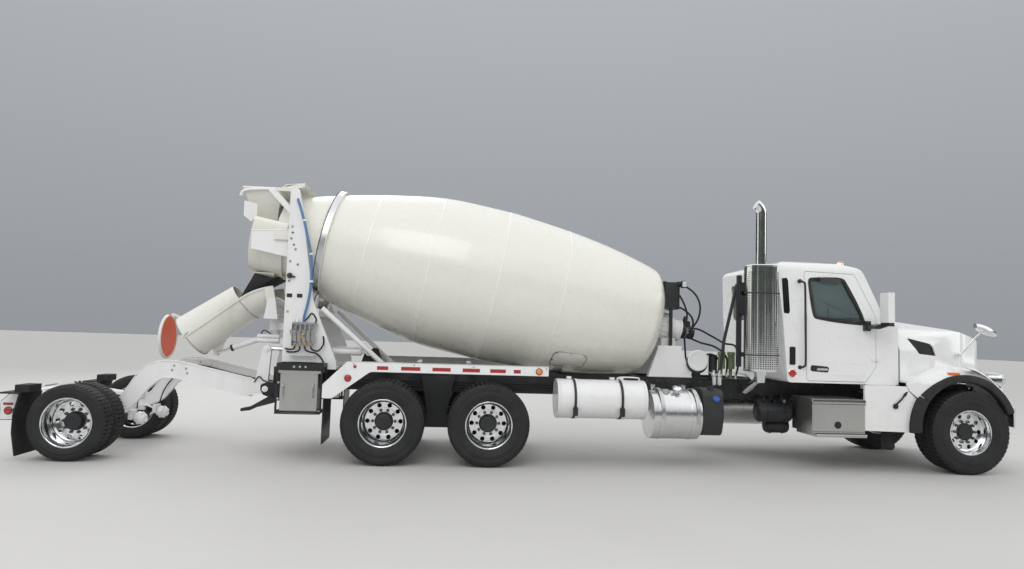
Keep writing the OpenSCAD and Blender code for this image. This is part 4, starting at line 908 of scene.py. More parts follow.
def wheels():
    """Turns the rims with their hand holes, and fits lug nuts, hubs and brake drums."""
    # Node, body, axle, side, middle line, half width, the disc's faces, the hub's end, finish
    rows = []
    for side, name in SIDES:
        rows.append((f"front_rim_{name}", f"front_wheel_{name}", FRONT_AXLE, side, 1.0375, 0.187,
                     (0.036, 0.058), 0.096, "front_rims"))
        rows.append((f"booster_rims_{name}", f"booster_wheels_{name}", BOOSTER_AXLE, side, 0.9045, 0.260,
                     (-0.024, 0.024), 0.118, "booster_rims"))
    for code, axle, polish in (("f", TANDEM_FRONT, "tandem_front_rims"),
                               ("r", TANDEM_REAR, "tandem_rear_rims")):
        for side, name in SIDES:
            rows.append((f"drive_rims_{code}{name[0]}", f"drive_wheels_{code}{name[0]}", axle, side, 0.8905,
                         0.284, (-0.024, 0.024), 0.130, polish))
    for node, body, axle, side, middle, lip, disc, hub_end, polish in rows:
        place = Matrix.Translation(at(axle[0], side * middle, axle[1])) @ Matrix.Diagonal((1, side, 1, 1))
        half = [(0, 0.266), (lip - 0.060, 0.264), (lip - 0.034, 0.270), (lip - 0.018, 0.283),
                (lip - 0.004, 0.2865), (lip, 0.2925), (lip, 0.300), (lip - 0.002, 0.303),
                (lip - 0.008, 0.2995), (lip - 0.030, 0.297), (0, 0.297)]
        section = half + [(-a, r) for a, r in reversed(half[1:-1])]
        rim = Shape().rings([wheel_ring(a, r) for a, r in section], closed=True)
        pierced_disc(rim, *disc, outer=0.2655, inner=0.085, count=LUG_NUTS, pitch=0.211, hole=0.0295)
        for face, push in ((disc[1], 1), (disc[0], -1)):
            for section in (((-0.002, 0.178), (0.005, 0.174), (0.006, 0.100), (-0.002, 0.098)),
                            ((-0.002, 0.2655), (0.022, 0.2655), (0.014, 0.2590), (0.003, 0.2440),
                             (-0.002, 0.2430))):
                rim.rings([wheel_ring(face + push * a, r) for a, r in section], closed=True)
        place_part(rim, place, f"{node}_polished", body, polish, node)
        # The nuts take the dark lug finish, which is painted shade for the shadows round them.
        nut = Shape().turned((0.143, disc[1] + 0.004, 0), (0, 1, 0),
                             [(0, 0.0235), (0.005, 0.0235), (0.005, 0.0185), (0.026, 0.0185),
                              (0.028, 0.0150), (0.028, 0.0100), (0.040, 0.0095)], 6)
        nuts = repeated(nut, "round", LUG_NUTS, (0, math.tau / LUG_NUTS, 0), "lug", place=place)
        settle(f"{node}_nuts", nuts, body, "lug", smooth=False)
        out = hub_end - disc[1]
        hub = Shape().turned((0, disc[1], 0), (0, 1, 0),
                             [(0, 0.119), (0.012, 0.119), (0.016, 0.104), (out - 0.018, 0.096),
                              (out - 0.016, 0.101), (out - 0.008, 0.101), (out - 0.006, 0.088),
                              (out, 0.072), (out + 0.001, 0.050), (out - 0.004, 0.046),
                              (out - 0.004, 0.001)], 48)
        for place_of_bolt in wheel_ring(disc[1] + out - 0.008, 0.0945, 8):
            hub.turned(place_of_bolt, (0, 1, 0), [(0, 0.0075), (0.007, 0.0075), (0.008, 0.004)], 6)
        low = disc[0] - (0.15 if disc[0] > 0 else 0.22)
        hub.turned((0, low, 0), (0, 1, 0), [(0, 0.195), (0.01, 0.206), (disc[0] - low - 0.03, 0.206),
                                            (disc[0] - low - 0.004, 0.196)], 48)
        place_part(hub, place, f"{node}_hub", body, "plastic")


def bolts(shape, places, axis, radius=0.013, height=0.010):
    for place in places:
        shape.turned(Vector(place) - Vector(axis) * 0.004, axis,
                     [(0, radius * 1.35), (0.007, radius * 1.35), (0.007, radius), (0.004 + height, radius),
                      (0.006 + height, radius * 0.8)], 6)
    return shape


def lamp(name, body, place, axis, radius, lens, rim="soft"):
    """A round lamp: rubber ring and domed lens."""
    place, axis = Vector(place), Vector(axis)
    Shape().turned(place, axis, [(-0.004, radius * 1.22), (0.008, radius * 1.22), (0.011, radius * 1.1),
                                 (0.008, radius)], 28).piece(f"{name}_ring", body, rim, "flap_rubber")
    Shape().turned(place, axis,
                   [(-0.003, radius), (0.009, radius), (0.013, radius * 0.85), (0.016, radius * 0.5),
                    (0.017, 0.001)], 28).piece(f"{name}_lens", body, lens)


# Outline of the door's window: place along the truck, height
WINDOW = [(5.062, 2.12), (5.085, 2.062), (5.14, 2.045), (5.40, 2.012), (5.66, 1.985), (5.735, 1.985),
          (5.768, 2.02), (5.74, 2.12), (5.675, 2.27), (5.60, 2.42), (5.555, 2.51), (5.525, 2.565),
          (5.47, 2.588), (5.38, 2.592), (5.12, 2.586), (5.055, 2.578), (5.028, 2.53), (5.036, 2.40),
          (5.048, 2.25)]


def cab_trim():
    """Fits handles, grab bars, seals, side lamps, vents and roof markers to the cab."""
    for side, name in SIDES:
        door = f"door_{name}"
        face = side * SKIN
        out = Vector((0, side, 0))
        cup = Shape()
        rim = [(5.013, 1.375), (5.03, 1.405), (5.255, 1.39), (5.274, 1.365), (5.262, 1.318), (5.235, 1.31),
               (5.035, 1.322), (5.013, 1.335)]
        cup.plate([(x - SHIFT, face - side * 0.01, z) for x, z in rim], (0, side * 0.0125, 0))
        cup.piece(f"handle_cup_{name}", door, "plastic")
        pull = Shape().block((5.095 - SHIFT, face + side * 0.002, 1.336),
                             (5.255 - SHIFT, face + side * 0.02, 1.366), 0.006)
        pull.piece(f"handle_pull_{name}", door, "chrome")
        glass = curve([(x, 0, z) for x, z in WINDOW], 3, True)
        seal = Shape()
        skin = []
        for p in glass:
            lean = 0 if p.z < 2.06 else (p.z - 2.06) * DOOR_LEAN
            skin.append((p.x, p.z, side * (1.031 - lean)))
        rings = []
        centre = Vector((5.36, 0, 2.29))
        for grow, push in ((0.024, -0.012), (0.024, 0.003), (0.012, 0.007), (-0.022, 0.005),
                           (-0.028, -0.02)):
            ring = []
            for x, z, y in skin:
                away = (Vector((x, 0, z)) - centre).normalized()
                ring.append(Vector((x - SHIFT, y + side * push, z)) + Vector((away.x, 0, away.z)) * grow)
            rings.append(ring)
        seal.rings(rings, closed=True)
        seal.piece(f"window_seal_{name}", door, "soft")
        hood = Shape()
        hood.rings([[at(5.165 + u * 0.30, side * (0.960 + 0.004 * math.sin(u * math.pi)),
                        2.612 - 0.018 * u),
                     at(5.165 + u * 0.30, side * (0.992 + 0.012 * math.sin(u * math.pi)), 2.600 - 0.02 * u),
                     at(5.165 + u * 0.30, side * (1.008 + 0.012 * math.sin(u * math.pi)), 2.552 - 0.03 * u),
                     at(5.165 + u * 0.30, side * (1.000 + 0.010 * math.sin(u * math.pi)), 2.552 - 0.03 * u)]
                    for u in (k / 10 for k in range(11))])
        hood.piece(f"window_visor_{name}", door, "plastic")
        for at_x, crest in ((5.28, 1.436), (5.31, 1.279)):
            ridge = Shape().tube([at(at_x, face, crest), at((at_x + 5.84) / 2, face, crest - 0.001),
                                  at(5.83, face, crest)], [0.002, 0.0045, 0.002], 8)
            ridge.piece(f"door_crease_{name}_{int(crest * 1000)}", door, "white")
        grab = Shape()
        grab.bent([(4.86, side * 1.02, 2.54), (4.885, side * 1.082, 2.52), (4.902, side * 1.09, 2.45),
                   (4.908, side * 1.09, 1.95), (4.912, side * 1.09, 1.46), (4.895, side * 1.08, 1.385),
                   (4.865, side * 1.02, 1.37)], 6, 0.014, 14)
        for z in (2.54, 1.37):
            grab.turned(at(4.862, side * 1.005, z), out, [(0, 0.028), (0.028, 0.028), (0.032, 0.02)], 20)
        grab.piece(f"grab_bar_{name}", "chassis", "plastic")
        slot_glass = Shape()
        corner_glass = [(4.585, 2.575), (4.655, 2.585), (4.672, 2.55), (4.672, 2.13), (4.655, 2.09),
                        (4.585, 2.10)]
        slot_glass.rings([[at(x + 0.05, side * (1.022 - max(z - 2.06, 0) * DOOR_LEAN), z)
                           for x, z in corner_glass],
                          [at(x + 0.05, side * (1.034 - max(z - 2.06, 0) * DOOR_LEAN), z)
                           for x, z in corner_glass]])
        slot_glass.piece(f"corner_glass_{name}", "chassis", "black_glass", smooth=False)
        vent = Shape().box((4.715, side * 1.022, 1.40), (4.80, side * 1.036, 1.645), 0.008)
        for k in range(11):
            z = 1.418 + k * 0.0205
            vent.box((4.722, side * 1.034, z), (4.793, side * 1.046, z + 0.009), 0.002)
        vent.piece(f"cab_vent_{name}", "chassis", "plastic")
        lamp(f"cab_side_lamp_{name}", "chassis", at(4.755, side * 1.03, 1.285), (0, side, 0), 0.05,
             "red_lens", "chrome")
        hinge = Shape()
        for z in (1.47, 1.95):
            hinge.box((5.89, side * 1.031, z + 0.012), (5.945, side * 1.040, z + 0.048), 0.003)
        hinge.piece(f"hinge_leaf_{name}", door, "white")
        tub = Shape()
        for k in range(7):
            x = 5.75 + k * 0.075
            tub.box((x, side * 0.905, 1.05), (x + 0.03, side * 1.14, 1.062), 0.003)
        tub.piece(f"upper_step_{name}", "chassis", "stainless")
    marks = Shape()
    for k, y in enumerate((-0.80, -0.30, 0.0, 0.30, 0.80)):
        height = 2.80 if abs(y) > 0.5 else 2.822
        marks.turned(at(5.56, y, height - 0.03), (0.25, 0, 1), [(0, 0.052), (0.05, 0.05), (0.062, 0.045)],
                     20)
    marks.piece("roof_marker_bases", "chassis", "chrome")
    lenses = Shape()
    for y in (-0.80, -0.30, 0.0, 0.30, 0.80):
        height = 2.80 if abs(y) > 0.5 else 2.822
        lenses.turned(at(5.572, y, height + 0.025), (0.25, 0, 1), [(0, 0.042), (0.02, 0.04), (0.036, 0.028),
                                                                  (0.042, 0.01), (0.043, 0.001)], 20)
    lenses.piece("roof_marker_lenses", "chassis", "amber_lens")
    for name, y in (("right", -0.42), ("left", 0.42)):
        wiper = Shape()
        wiper.tube([at(6.185, y, 2.02), at(6.10, y + 0.02, 2.10), at(6.02, y - 0.10, 2.28),
                    at(5.965, y - 0.24, 2.40)], [0.012, 0.009, 0.007, 0.005], 8)
        wiper.tube([at(6.075, y - 0.46, 2.19), at(6.02, y - 0.16, 2.30), at(5.965, y + 0.10, 2.42)], 0.008,
                   8)
        wiper.piece(f"wiper_{name}", "chassis", "plastic")


def lamp_pod(side, name):
    """Reflector bowls behind a clear cover that wraps the fender's shoulder."""
    bowls = Shape()
    for y, z in ((0.80, 1.275), (0.965, 1.275)):
        bowls.turned(at(7.800, side * y, z), (1, 0, 0),
                     [(0, 0.066), (0.040, 0.072), (0.040, 0.066), (0.012, 0.045), (0.004, 0.012),
                      (0.030, 0.010), (0.032, 0.001)], 32)
    bowls.box((7.50, side * 0.84, 1.195), (7.80, side * 1.045, 1.205), 0.003)
    bowls.box((7.50, side * 0.84, 1.345), (7.78, side * 1.035, 1.355), 0.003)
    bowls.piece(f"headlamp_bowls_{name}", "hood", "chrome")
    amber = Shape().box((7.56, side * 1.030, 1.225), (7.74, side * 1.046, 1.255), 0.004)
    amber.piece(f"turn_lamp_{name}", "hood", "amber_lens")
    cover = Shape()
    rows = []
    for x, near, far, low, high in ((7.424, 0.94, 0.99, 1.27, 1.32), (7.44, 0.86, 1.055, 1.20, 1.382),
                                    (7.56, 0.80, 1.068, 1.186, 1.388), (7.70, 0.735, 1.066, 1.182, 1.382),
                                    (7.80, 0.715, 1.050, 1.184, 1.366), (7.855, 0.728, 1.020, 1.198, 1.345),
                                    (7.880, 0.775, 0.970, 1.225, 1.315), (7.884, 0.84, 0.90, 1.26, 1.28)):
        rows.append([at(x, side * ((near + far) / 2 + (far - near) / 2 * u),
                        (low + high) / 2 + (high - low) / 2 * v) for u, v in soft_square(24, 0.45)])
    cover.rings(rows)
    cover.piece(f"headlamp_cover_{name}", "hood", "clear")


def flare(side, name):
    """Rubber flare round the arch; its rear foot stays on the quarter panel."""
    for body, first, last in (("hood", 20, 145), ("chassis", 146.5, 184)):
        band = Shape()
        rows = []
        for k in range(41):
            angle = math.radians(first + (last - first) * k / 40)
            wide = 0.738 + 0.052 * min(max((math.degrees(angle) - 118) / 30, 0), 1)
            rows.append([at(ARCH[0] + r * math.cos(angle), side * y, ARCH[1] + r * math.sin(angle))
                         for r, y in ((0.638, 1.150), (0.638, 1.240), (0.650, 1.250), (wide - 0.016, 1.250),
                                      (wide, 1.238), (wide, 1.228), (wide - 0.010, 1.150))])
        band.rings(rows)
        band.piece(f"arch_flare_{body}_{name}", body, "soft")


def front_fenders():
    """Cuts the fenders down in front of the axle, so that the lamps stand free, and closes the cuts."""
    crown = []
    for degrees in (87, 80, 73, 65, 57, 48.5, 40, 30, 20):
        reach = 0.735 + 0.0024 * max(degrees - 40, 0)
        angle = math.radians(degrees)
        crown.append((ARCH[0] + reach * math.cos(angle), ARCH[1] + reach * math.sin(angle)))
    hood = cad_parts["hood"]
    data = hood.data.copy()
    data.transform(hood.matrix_world)
    faces = BVHTree.FromPolygons([v.co for v in data.vertices], [p.vertices for p in data.polygons])
    nose = [(x, faces.ray_cast(at(x, 2, 1.50), Vector((0, -1, 0)))[0].y + 0.004)
            for x in (7.42, 7.50, 7.60, 7.70, 7.75, 7.80)]
    cutter = Shape()
    skin = Shape()
    for side in (RIGHT, LEFT):
        line = crown + [(7.83, 0.72), (8.2, 0.72), (8.2, 1.8), (7.15, 1.8)]
        cutter.plate([at(x, side * 1.0745, z) for x, z in line], (0, side * 0.25, 0))
        plan = nose + [(8.1, 0.52), (8.1, 1.075), (7.42, 1.075)]
        cutter.plate([at(x, side * y, 1.17) for x, y in plan], (0, 0, 0.5))
        smooth = curve([at(x, 0, z) for x, z in crown], 4)
        rows = []
        for i, p in enumerate(smooth):
            way = smooth[min(i + 1, len(smooth) - 1)] - smooth[max(i - 1, 0)]
            up = Vector((-way.z, 0, way.x)).normalized()
            rows.append([Vector((p.x, side * y, p.z)) + up * lift for y, lift in
                         ((1.071, -0.006), (1.071, 0.0), (1.205, 0.001), (1.222, -0.006), (1.229, -0.020),
                          (1.224, -0.024), (1.200, -0.008))])
        skin.rings(rows)
        shelf = nose + [(7.80, 1.00), (7.757, 1.073), (7.42, 1.073)]
        skin.plate([at(x, side * y, 1.166) for x, y in shelf], (0, 0, 0.006))
        skin.plate([at(7.42, side * y, z)
                    for y, z in ((0.829, 1.168), (1.073, 1.168), (1.073, 1.33), (1.05, 1.40), (0.98, 1.43),
                                 (0.829, 1.43))], (-0.005, 0, 0))
        wall = [(7.42, 1.166), (7.42, 1.328)] + crown[4:-1] + [(7.755, 0.93), (7.765, 1.166)]
        skin.plate([at(x, side * 1.068, z) for x, z in wall], (0, side * 0.005, 0))
    skin.piece("fender_closings", "hood", "cab_white")
    shell = bpy.data.objects.new("shell", data)
    knife = bpy.data.objects.new("knife", cutter.finished("knife"))
    for item in (shell, knife):
        bpy.context.scene.collection.objects.link(item)
    cut = shell.modifiers.new("cut", "BOOLEAN")
    cut.operation = "DIFFERENCE"
    cut.solver = "EXACT"
    cut.use_self = True
    cut.object = knife
    bpy.context.view_layer.update()
    made = bpy.data.meshes.new_from_object(shell.evaluated_get(bpy.context.evaluated_depsgraph_get()))
    for item in (shell, knife):
        bpy.data.objects.remove(item)
    piece = settle("hood_shell", even_shading(made), "hood", "cab_white", smooth=False)
    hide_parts("hood")


def hood_trim():
    """Adds the hood's mirrors, markers, latches, vents and grille, and has its lamps and fenders made."""
    for side, name in SIDES:
        out = Vector((0, side, 0))
        mirror = Shape()
        foot = at(7.235, side * 0.93, 1.60)
        mirror.turned(foot - out * 0.05, out, [(0, 0.035), (0.06, 0.033), (0.066, 0.025)], 24)
        mirror.tube(curve([foot, at(7.235, side * 1.0, 1.625), at(7.26, side * 1.04, 1.69),
                           at(7.35, side * 1.09, 1.84), at(7.43, side * 1.14, 1.935),
                           at(7.47, side * 1.15, 1.955)], 5), 0.011, 12)
        head = []
        for k in range(9):
            u = k / 8
            reach = math.sin(math.pi * (0.12 + 0.8 * u)) ** 0.6
            mid = at(7.30 + 0.30 * u, side * 1.16, 2.005 - 0.11 * u)
            head.append([mid + Vector((0.02 * math.cos(a), 0.105 * reach * math.cos(a),
                                       0.062 * reach * math.sin(a))) for a in turns(16)])
        mirror.rings(head)
        mirror.piece(f"hood_mirror_{name}", "hood", "chrome")
        amber = Shape().box((6.90, side * 1.118, 1.318), (7.075, side * 1.166, 1.362), 0.010)
        amber.piece(f"fender_marker_{name}", "hood", "amber_lens")
        latch = Shape()
        latch.bent([(6.10, side * 1.196, 0.885), (6.15, side * 1.20, 0.94), (6.22, side * 1.20, 1.01),
                    (6.30, side * 1.16, 1.09)], 5, [0.02] * 4 + [0.011] * 8 + [0.02] * 4, 10)
        latch.box((6.085, side * 1.182, 0.86), (6.15, side * 1.212, 0.92), 0.008)
        latch.piece(f"hood_latch_{name}", "chassis", "soft")
        vent = Shape()
        spread = [(6.47, 1.80), (6.58, 1.61), (6.84, 1.585), (6.77, 1.728)]
        vent.plate([at(x, side * 0.955, z) for x, z in spread], (0, side * 0.01, 0))
        vent.piece(f"vent_mesh_{name}", "hood", "plastic")
        lamp_pod(side, name)
        flare(side, name)
    front_fenders()
    slat = Shape().block((-0.002, -0.36, -0.007), (0.016, 0.36, 0.007), 0.003)
    data = repeated(slat, "line", 19, (0, 0, 0.034), "chrome",
                    place=Matrix.Translation(at(7.836, 0, 1.017)))
    settle("grille_slats", data, "hood", "chrome")
    surround = Shape()
    for y in (-0.385, 0.385):
        surround.box((7.828, y - 0.022, 0.985), (7.856, y + 0.022, 1.67), 0.008)
    for z in (0.995, 1.665):
        surround.box((7.828, -0.405, z - 0.02), (7.856, 0.405, z + 0.02), 0.008)
    surround.box((7.83, -0.012, 0.99), (7.858, 0.012, 1.66), 0.004)
    surround.piece("grille_surround", "hood", "chrome")


def exhaust():
    """Wraps the silencer in its perforated shield and hangs it on its bracket."""
    pitch = bpy.context.scene.mixer_sizes.shield_pitch
    x, y, radius = 4.325, -1.0, 0.222
    shield = Shape()
    steps = 64
    rings = []
    for z, r in ((1.30, radius), (1.31, radius + 0.006), (1.32, radius + 0.006), (1.325, radius),
                 (2.0, radius), (2.705, radius), (2.71, radius + 0.006), (2.72, radius + 0.006),
                 (2.73, radius - 0.004), (2.732, 0.09)):
        rings.append([at(x + r * math.cos(a), y + r * math.sin(a), z) for a in turns(steps)])
    shield.rings(rings)
    shield.piece("exhaust_shield", "chassis", "chrome")
    count = int(math.tau * radius / pitch)
    rows = int(1.34 / (pitch * 0.92))
    hole = Shape()
    spot = radius + 0.0007
    size = pitch * 0.30
    hole.plate([(spot, size * math.cos(a), size * math.sin(a)) for a in turns(6)],
               (-0.003, 0, 0))
    bmesh.ops.transform(hole.mesh, verts=hole.mesh.verts, matrix=Matrix.Rotation(math.pi / 2, 4, "X"))
    data = repeated(hole, "round", count, (0, math.tau / count, 0), "plastic", rows, (0, pitch * 0.92, 0),
                    Matrix.Translation(at(x, y, 1.345)) @ Matrix.Rotation(math.pi / 2, 4, "X"))
    settle("shield_holes", data, "chassis", "plastic", smooth=False)
    bracket = Shape()
    bracket.box((4.04, -0.90, 1.35), (4.10, -0.84, 2.60), 0.006)
    bracket.box((4.05, -0.95, 2.05), (4.14, -0.80, 2.50), 0.02)
    for z in (1.52, 2.35):
        bracket.tube([at(x + 0.232 * math.cos(a), y + 0.232 * math.sin(a), z)
                      for a in turns(48)], 0.009, 8, True)
        bracket.box((4.07, -0.95, z - 0.03), (4.13, -0.84, z + 0.03), 0.004)
    bracket.tube([at(4.06, -0.82, 2.48), at(3.90, -0.78, 1.70), at(3.86, -0.76, 1.30)], 0.022, 12)
    bracket.piece("exhaust_bracket", "chassis", "plastic")


def hoop(shape, centre, inner, outer, half):
    """A flat band round the X axis, between two radii."""
    shape.rings([[centre + Vector((x, r * math.cos(a), r * math.sin(a)))
                  for x, r in ((-half, inner), (-half, outer), (half, outer), (half, inner))]
                 for a in turns(40)], closed=True)


def side_gear():
    """Details the tanks and the step box between the axles."""
    straps = Shape()
    low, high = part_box("water_tank")
    reach = 0.255
    for x in (1.775, 2.39):
        centre = Vector((x - SHIFT, low.y + reach, (low.z + high.z) / 2))
        hoop(straps, centre, reach + 0.001, reach + 0.006, 0.016)
        straps.block(centre + Vector((-0.03, -reach - 0.018, -0.20)),
                     centre + Vector((0.03, -reach + 0.03, -0.09)), 0.006)
        straps.turned(centre + Vector((0, -reach - 0.014, -0.14)), (0, -1, 0),
                      [(0, 0.016), (0.012, 0.016), (0.014, 0.01)], 6)
    straps.piece("water_tank_straps", "chassis", "plastic")
    fittings = Shape()
    for x in (1.72, 2.30, 2.42):
        fittings.box((x - 0.03, low.y + 0.22, high.z - 0.004), (x + 0.03, low.y + 0.29, high.z + 0.028),
                     0.004)
    fittings.bent([(2.36, low.y + 0.16, high.z - 0.02), (2.36, low.y + 0.12, high.z + 0.035),
                   (2.62, low.y + 0.12, high.z + 0.035), (2.62, low.y + 0.16, high.z - 0.02)], 6, 0.009, 10)
    fittings.piece("water_tank_fittings", "chassis", "white")
    weld = Shape()
    for x in (1.585, 2.70):
        weld.tube(loop_x(x, low.y + reach, (low.z + high.z) / 2, reach + 0.0015, 48), 0.004, 6, True)
    weld.piece("water_tank_welds", "chassis", "white")
    low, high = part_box("fuel_tanks")
    bands = Shape()
    mid_z = (low.z + high.z) / 2
    for side, spots in ((RIGHT, (2.93, 3.40)), (LEFT, (4.05, 5.15))):
        edge = low.y if side < 0 else high.y
        for x in spots:
            hoop(bands, Vector((x - SHIFT, edge - side * 0.32, mid_z)), 0.3205, 0.3245, 0.025)
    bands.piece("fuel_tank_bands", "chassis", "stainless")
    cap = Shape()
    for x, y, lean in ((3.16, low.y + 0.20, -0.5), (4.60, high.y - 0.20, 0.5)):
        cap.turned(at(x, y, mid_z + 0.285), (0, lean, 1),
                   [(0, 0.05), (0.03, 0.05), (0.03, 0.062), (0.055, 0.062), (0.06, 0.05)], 20)
    cap.piece("fuel_caps", "chassis", "chrome")
    low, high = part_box("fluid_tank")
    Shape().turned(at(3.645, low.y + 0.05, 0.925), (0.1, -1, 0.5), [(0, 0.05), (0.03, 0.05), (0.032, 0.044),
                   (0.036, 0.04)], 24).piece("fluid_cap", "chassis", "blue_cap")
    low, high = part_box("tool_box")
    face = low.y + 0.04
    lid = Shape()
    lid.box((4.945, face + 0.006, 0.905), (5.69, face - 0.012, 0.965), 0.005)
    lid.box((4.955, face + 0.004, 0.545), (5.68, face - 0.002, 0.895), 0.003)
    lid.piece("box_lid", "chassis", "stainless")
    latch = Shape()
    latch.box((4.945, face + 0.002, 0.8975), (5.69, face - 0.0035, 0.9035))
    latch.box((4.945, face + 0.002, 0.537), (5.69, face - 0.0035, 0.542))
    latch.turned(at(5.30, face - 0.001, 0.628), (0, -1, 0), [(0, 0.048), (0.006, 0.048), (0.008, 0.036),
                                                             (0.003, 0.034)], 28)
    latch.box((5.285, face - 0.001, 0.600), (5.315, face - 0.014, 0.645), 0.003)
    latch.piece("box_latch", "chassis", "plastic")
    bump = Shape().turned((0, 0, 0), (0, 0, 1), [(0, 0.010), (0.004, 0.008), (0.005, 0.004)], 8)
    data = repeated(bump, "line", 23, (0.031, 0, 0), "stainless", 6, (0, 0.031, 0),
                    Matrix.Translation(at(5.00, low.y + 0.006, 0.5005)))
    settle("step_grip", data, "chassis", "stainless")


# Distance along the drum's axis, outer radius
DRUM_PROFILE = [(-3.05, 0.530), (-2.92, 0.570), (-2.36, 0.745), (-1.75, 0.900), (-0.95, 1.060),
                (-0.15, 1.090), (0.10, 1.090), (0.95, 1.030), (1.60, 0.940), (2.15, 0.820), (2.30, 0.755),
                (2.395, 0.60), (2.42, 0.43), (2.45, 0.07)]


def drum_radius(s):
    for (a, ra), (b, rb) in zip(DRUM_PROFILE, DRUM_PROFILE[1:]):
        if a <= s <= b:
            return ra + (rb - ra) * (s - a) / (b - a)
    return DRUM_PROFILE[-1][1]


def drum():
    """Rolls the drum's shell with its welded seams, ring, hatch and inner spirals."""
    shell = Shape()
    line = curve([(s, r, 0) for s, r in DRUM_PROFILE[:-2]], 4)
    outer = [(p.x, min(p.y, 1.0905)) for p in line] + [(2.436, 0.25), (2.45, 0.07)]
    inner = [(s, r - 0.009) for s, r in outer if s < 2.3]
    path = list(reversed(inner)) + outer
    shell.rings([drum_ring(s, r) for s, r in path])
    shell.piece("drum_shell", "drum", "cream")
    seams = Shape()
    for s in (-1.78, -0.92, 0.0, 0.89):
        r = drum_radius(s)
        seams.rings([drum_ring(s + u, r + w)
                     for u, w in ((-0.012, -0.002), (-0.006, 0.005), (0.006, 0.005), (0.012, -0.002))],
                    closed=True)
    for low, high, twist in ((-1.78, -0.92, 0.35), (-0.92, 0.0, 1.1), (0.0, 1.0, 0.72), (1.0, 2.1, 0.42)):
        for half in (0, math.pi):
            path = []
            for k in range(9):
                s = low + (high - low) * k / 8
                path.append(drum_point(s, twist + half, drum_radius(s) + 0.0006))
            seams.tube(path, 0.0024, 6)
    seams.piece("drum_seams", "drum", "seam")
    ring = Shape()
    ring.rings([drum_ring(RING_PLACE + u, r)
                for u, r in ((-0.075, 0.735), (-0.045, 0.768), (-0.045, 0.796), (-0.041, 0.80),
                             (0.041, 0.80), (0.045, 0.796), (0.045, 0.768), (0.075, 0.728))], closed=True)
    ring.piece("drum_ring", "drum", "cream")
    # The second band is painted shadow: a thin black rubber ring on the rear edge of the running face,
    # standing in for the shade line between the ring and the drum.
    for name, near, far, lift, look in (("drum_track", -0.034, 0.037, 0.0006, "track"),
                                        ("ring_painted_shadow", -0.0462, -0.034, 0.0010, "soft")):
        band = Shape()
        band.rings([drum_ring(RING_PLACE + u, r + lift)
                    for u, r in ((near, 0.7985), (near, 0.80), (far, 0.80), (far, 0.7985))], closed=True)
        band.piece(name, "drum", look, "worn_steel")
    spirals = Shape()
    for start in (0.0, math.pi):
        first, second = [], []
        count = 120
        for k in range(count + 1):
            s = -3.02 + 1.9 * k / count
            angle = start + s * 3.4
            r = drum_radius(s) - 0.011
            depth = 0.10 + 0.16 * min(1.0, (s + 3.02) / 0.8)
            first.append((drum_point(s, angle, r), drum_point(s - 0.03, angle, r - depth)))
            second.append((drum_point(s + 0.008, angle, r), drum_point(s - 0.022, angle, r - depth)))
        rings = [[a[0], a[1], b[1], b[0]] for a, b in zip(first, second)]
        spirals.rings(rings)
    spirals.piece("drum_spirals", "drum", "chute", "cream_paint")
    hatch = Shape()
    along, middle = 1.22, -0.95
    border = [(along + 0.225 * u, middle + 0.165 * v) for u, v in soft_square(40, 0.4)]
    rows = []
    for grow, lift in ((1.0, -0.004), (1.0, 0.006), (0.96, 0.008), (0.3, 0.012)):
        rows.append([drum_point(along + (s - along) * grow, middle + (a - middle) * grow,
                                drum_radius(along + (s - along) * grow) + lift) for s, a in border])
    hatch.rings(rows)
    hatch.piece("drum_hatch", "drum", "cream")
    rim = Shape().tube([drum_point(along + (s - along) * 1.05, middle + (a - middle) * 1.05,
                                   drum_radius(along + (s - along) * 1.05) + 0.0025) for s, a in border],
                       0.0045, 6, True)
    rim.piece("drum_hatch_gap", "drum", "plastic", "cream_paint")
    studs = Shape()
    for s, a in border[::5]:
        place = drum_point(s, a, drum_radius(s) + 0.006)
        away = (place - drum_point(s, a, 0.1)).normalized()
        studs.turned(place, away, [(0, 0.012), (0.009, 0.012), (0.011, 0.008)], 6)
    studs.piece("drum_hatch_bolts", "drum", "nut")
    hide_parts("drum")


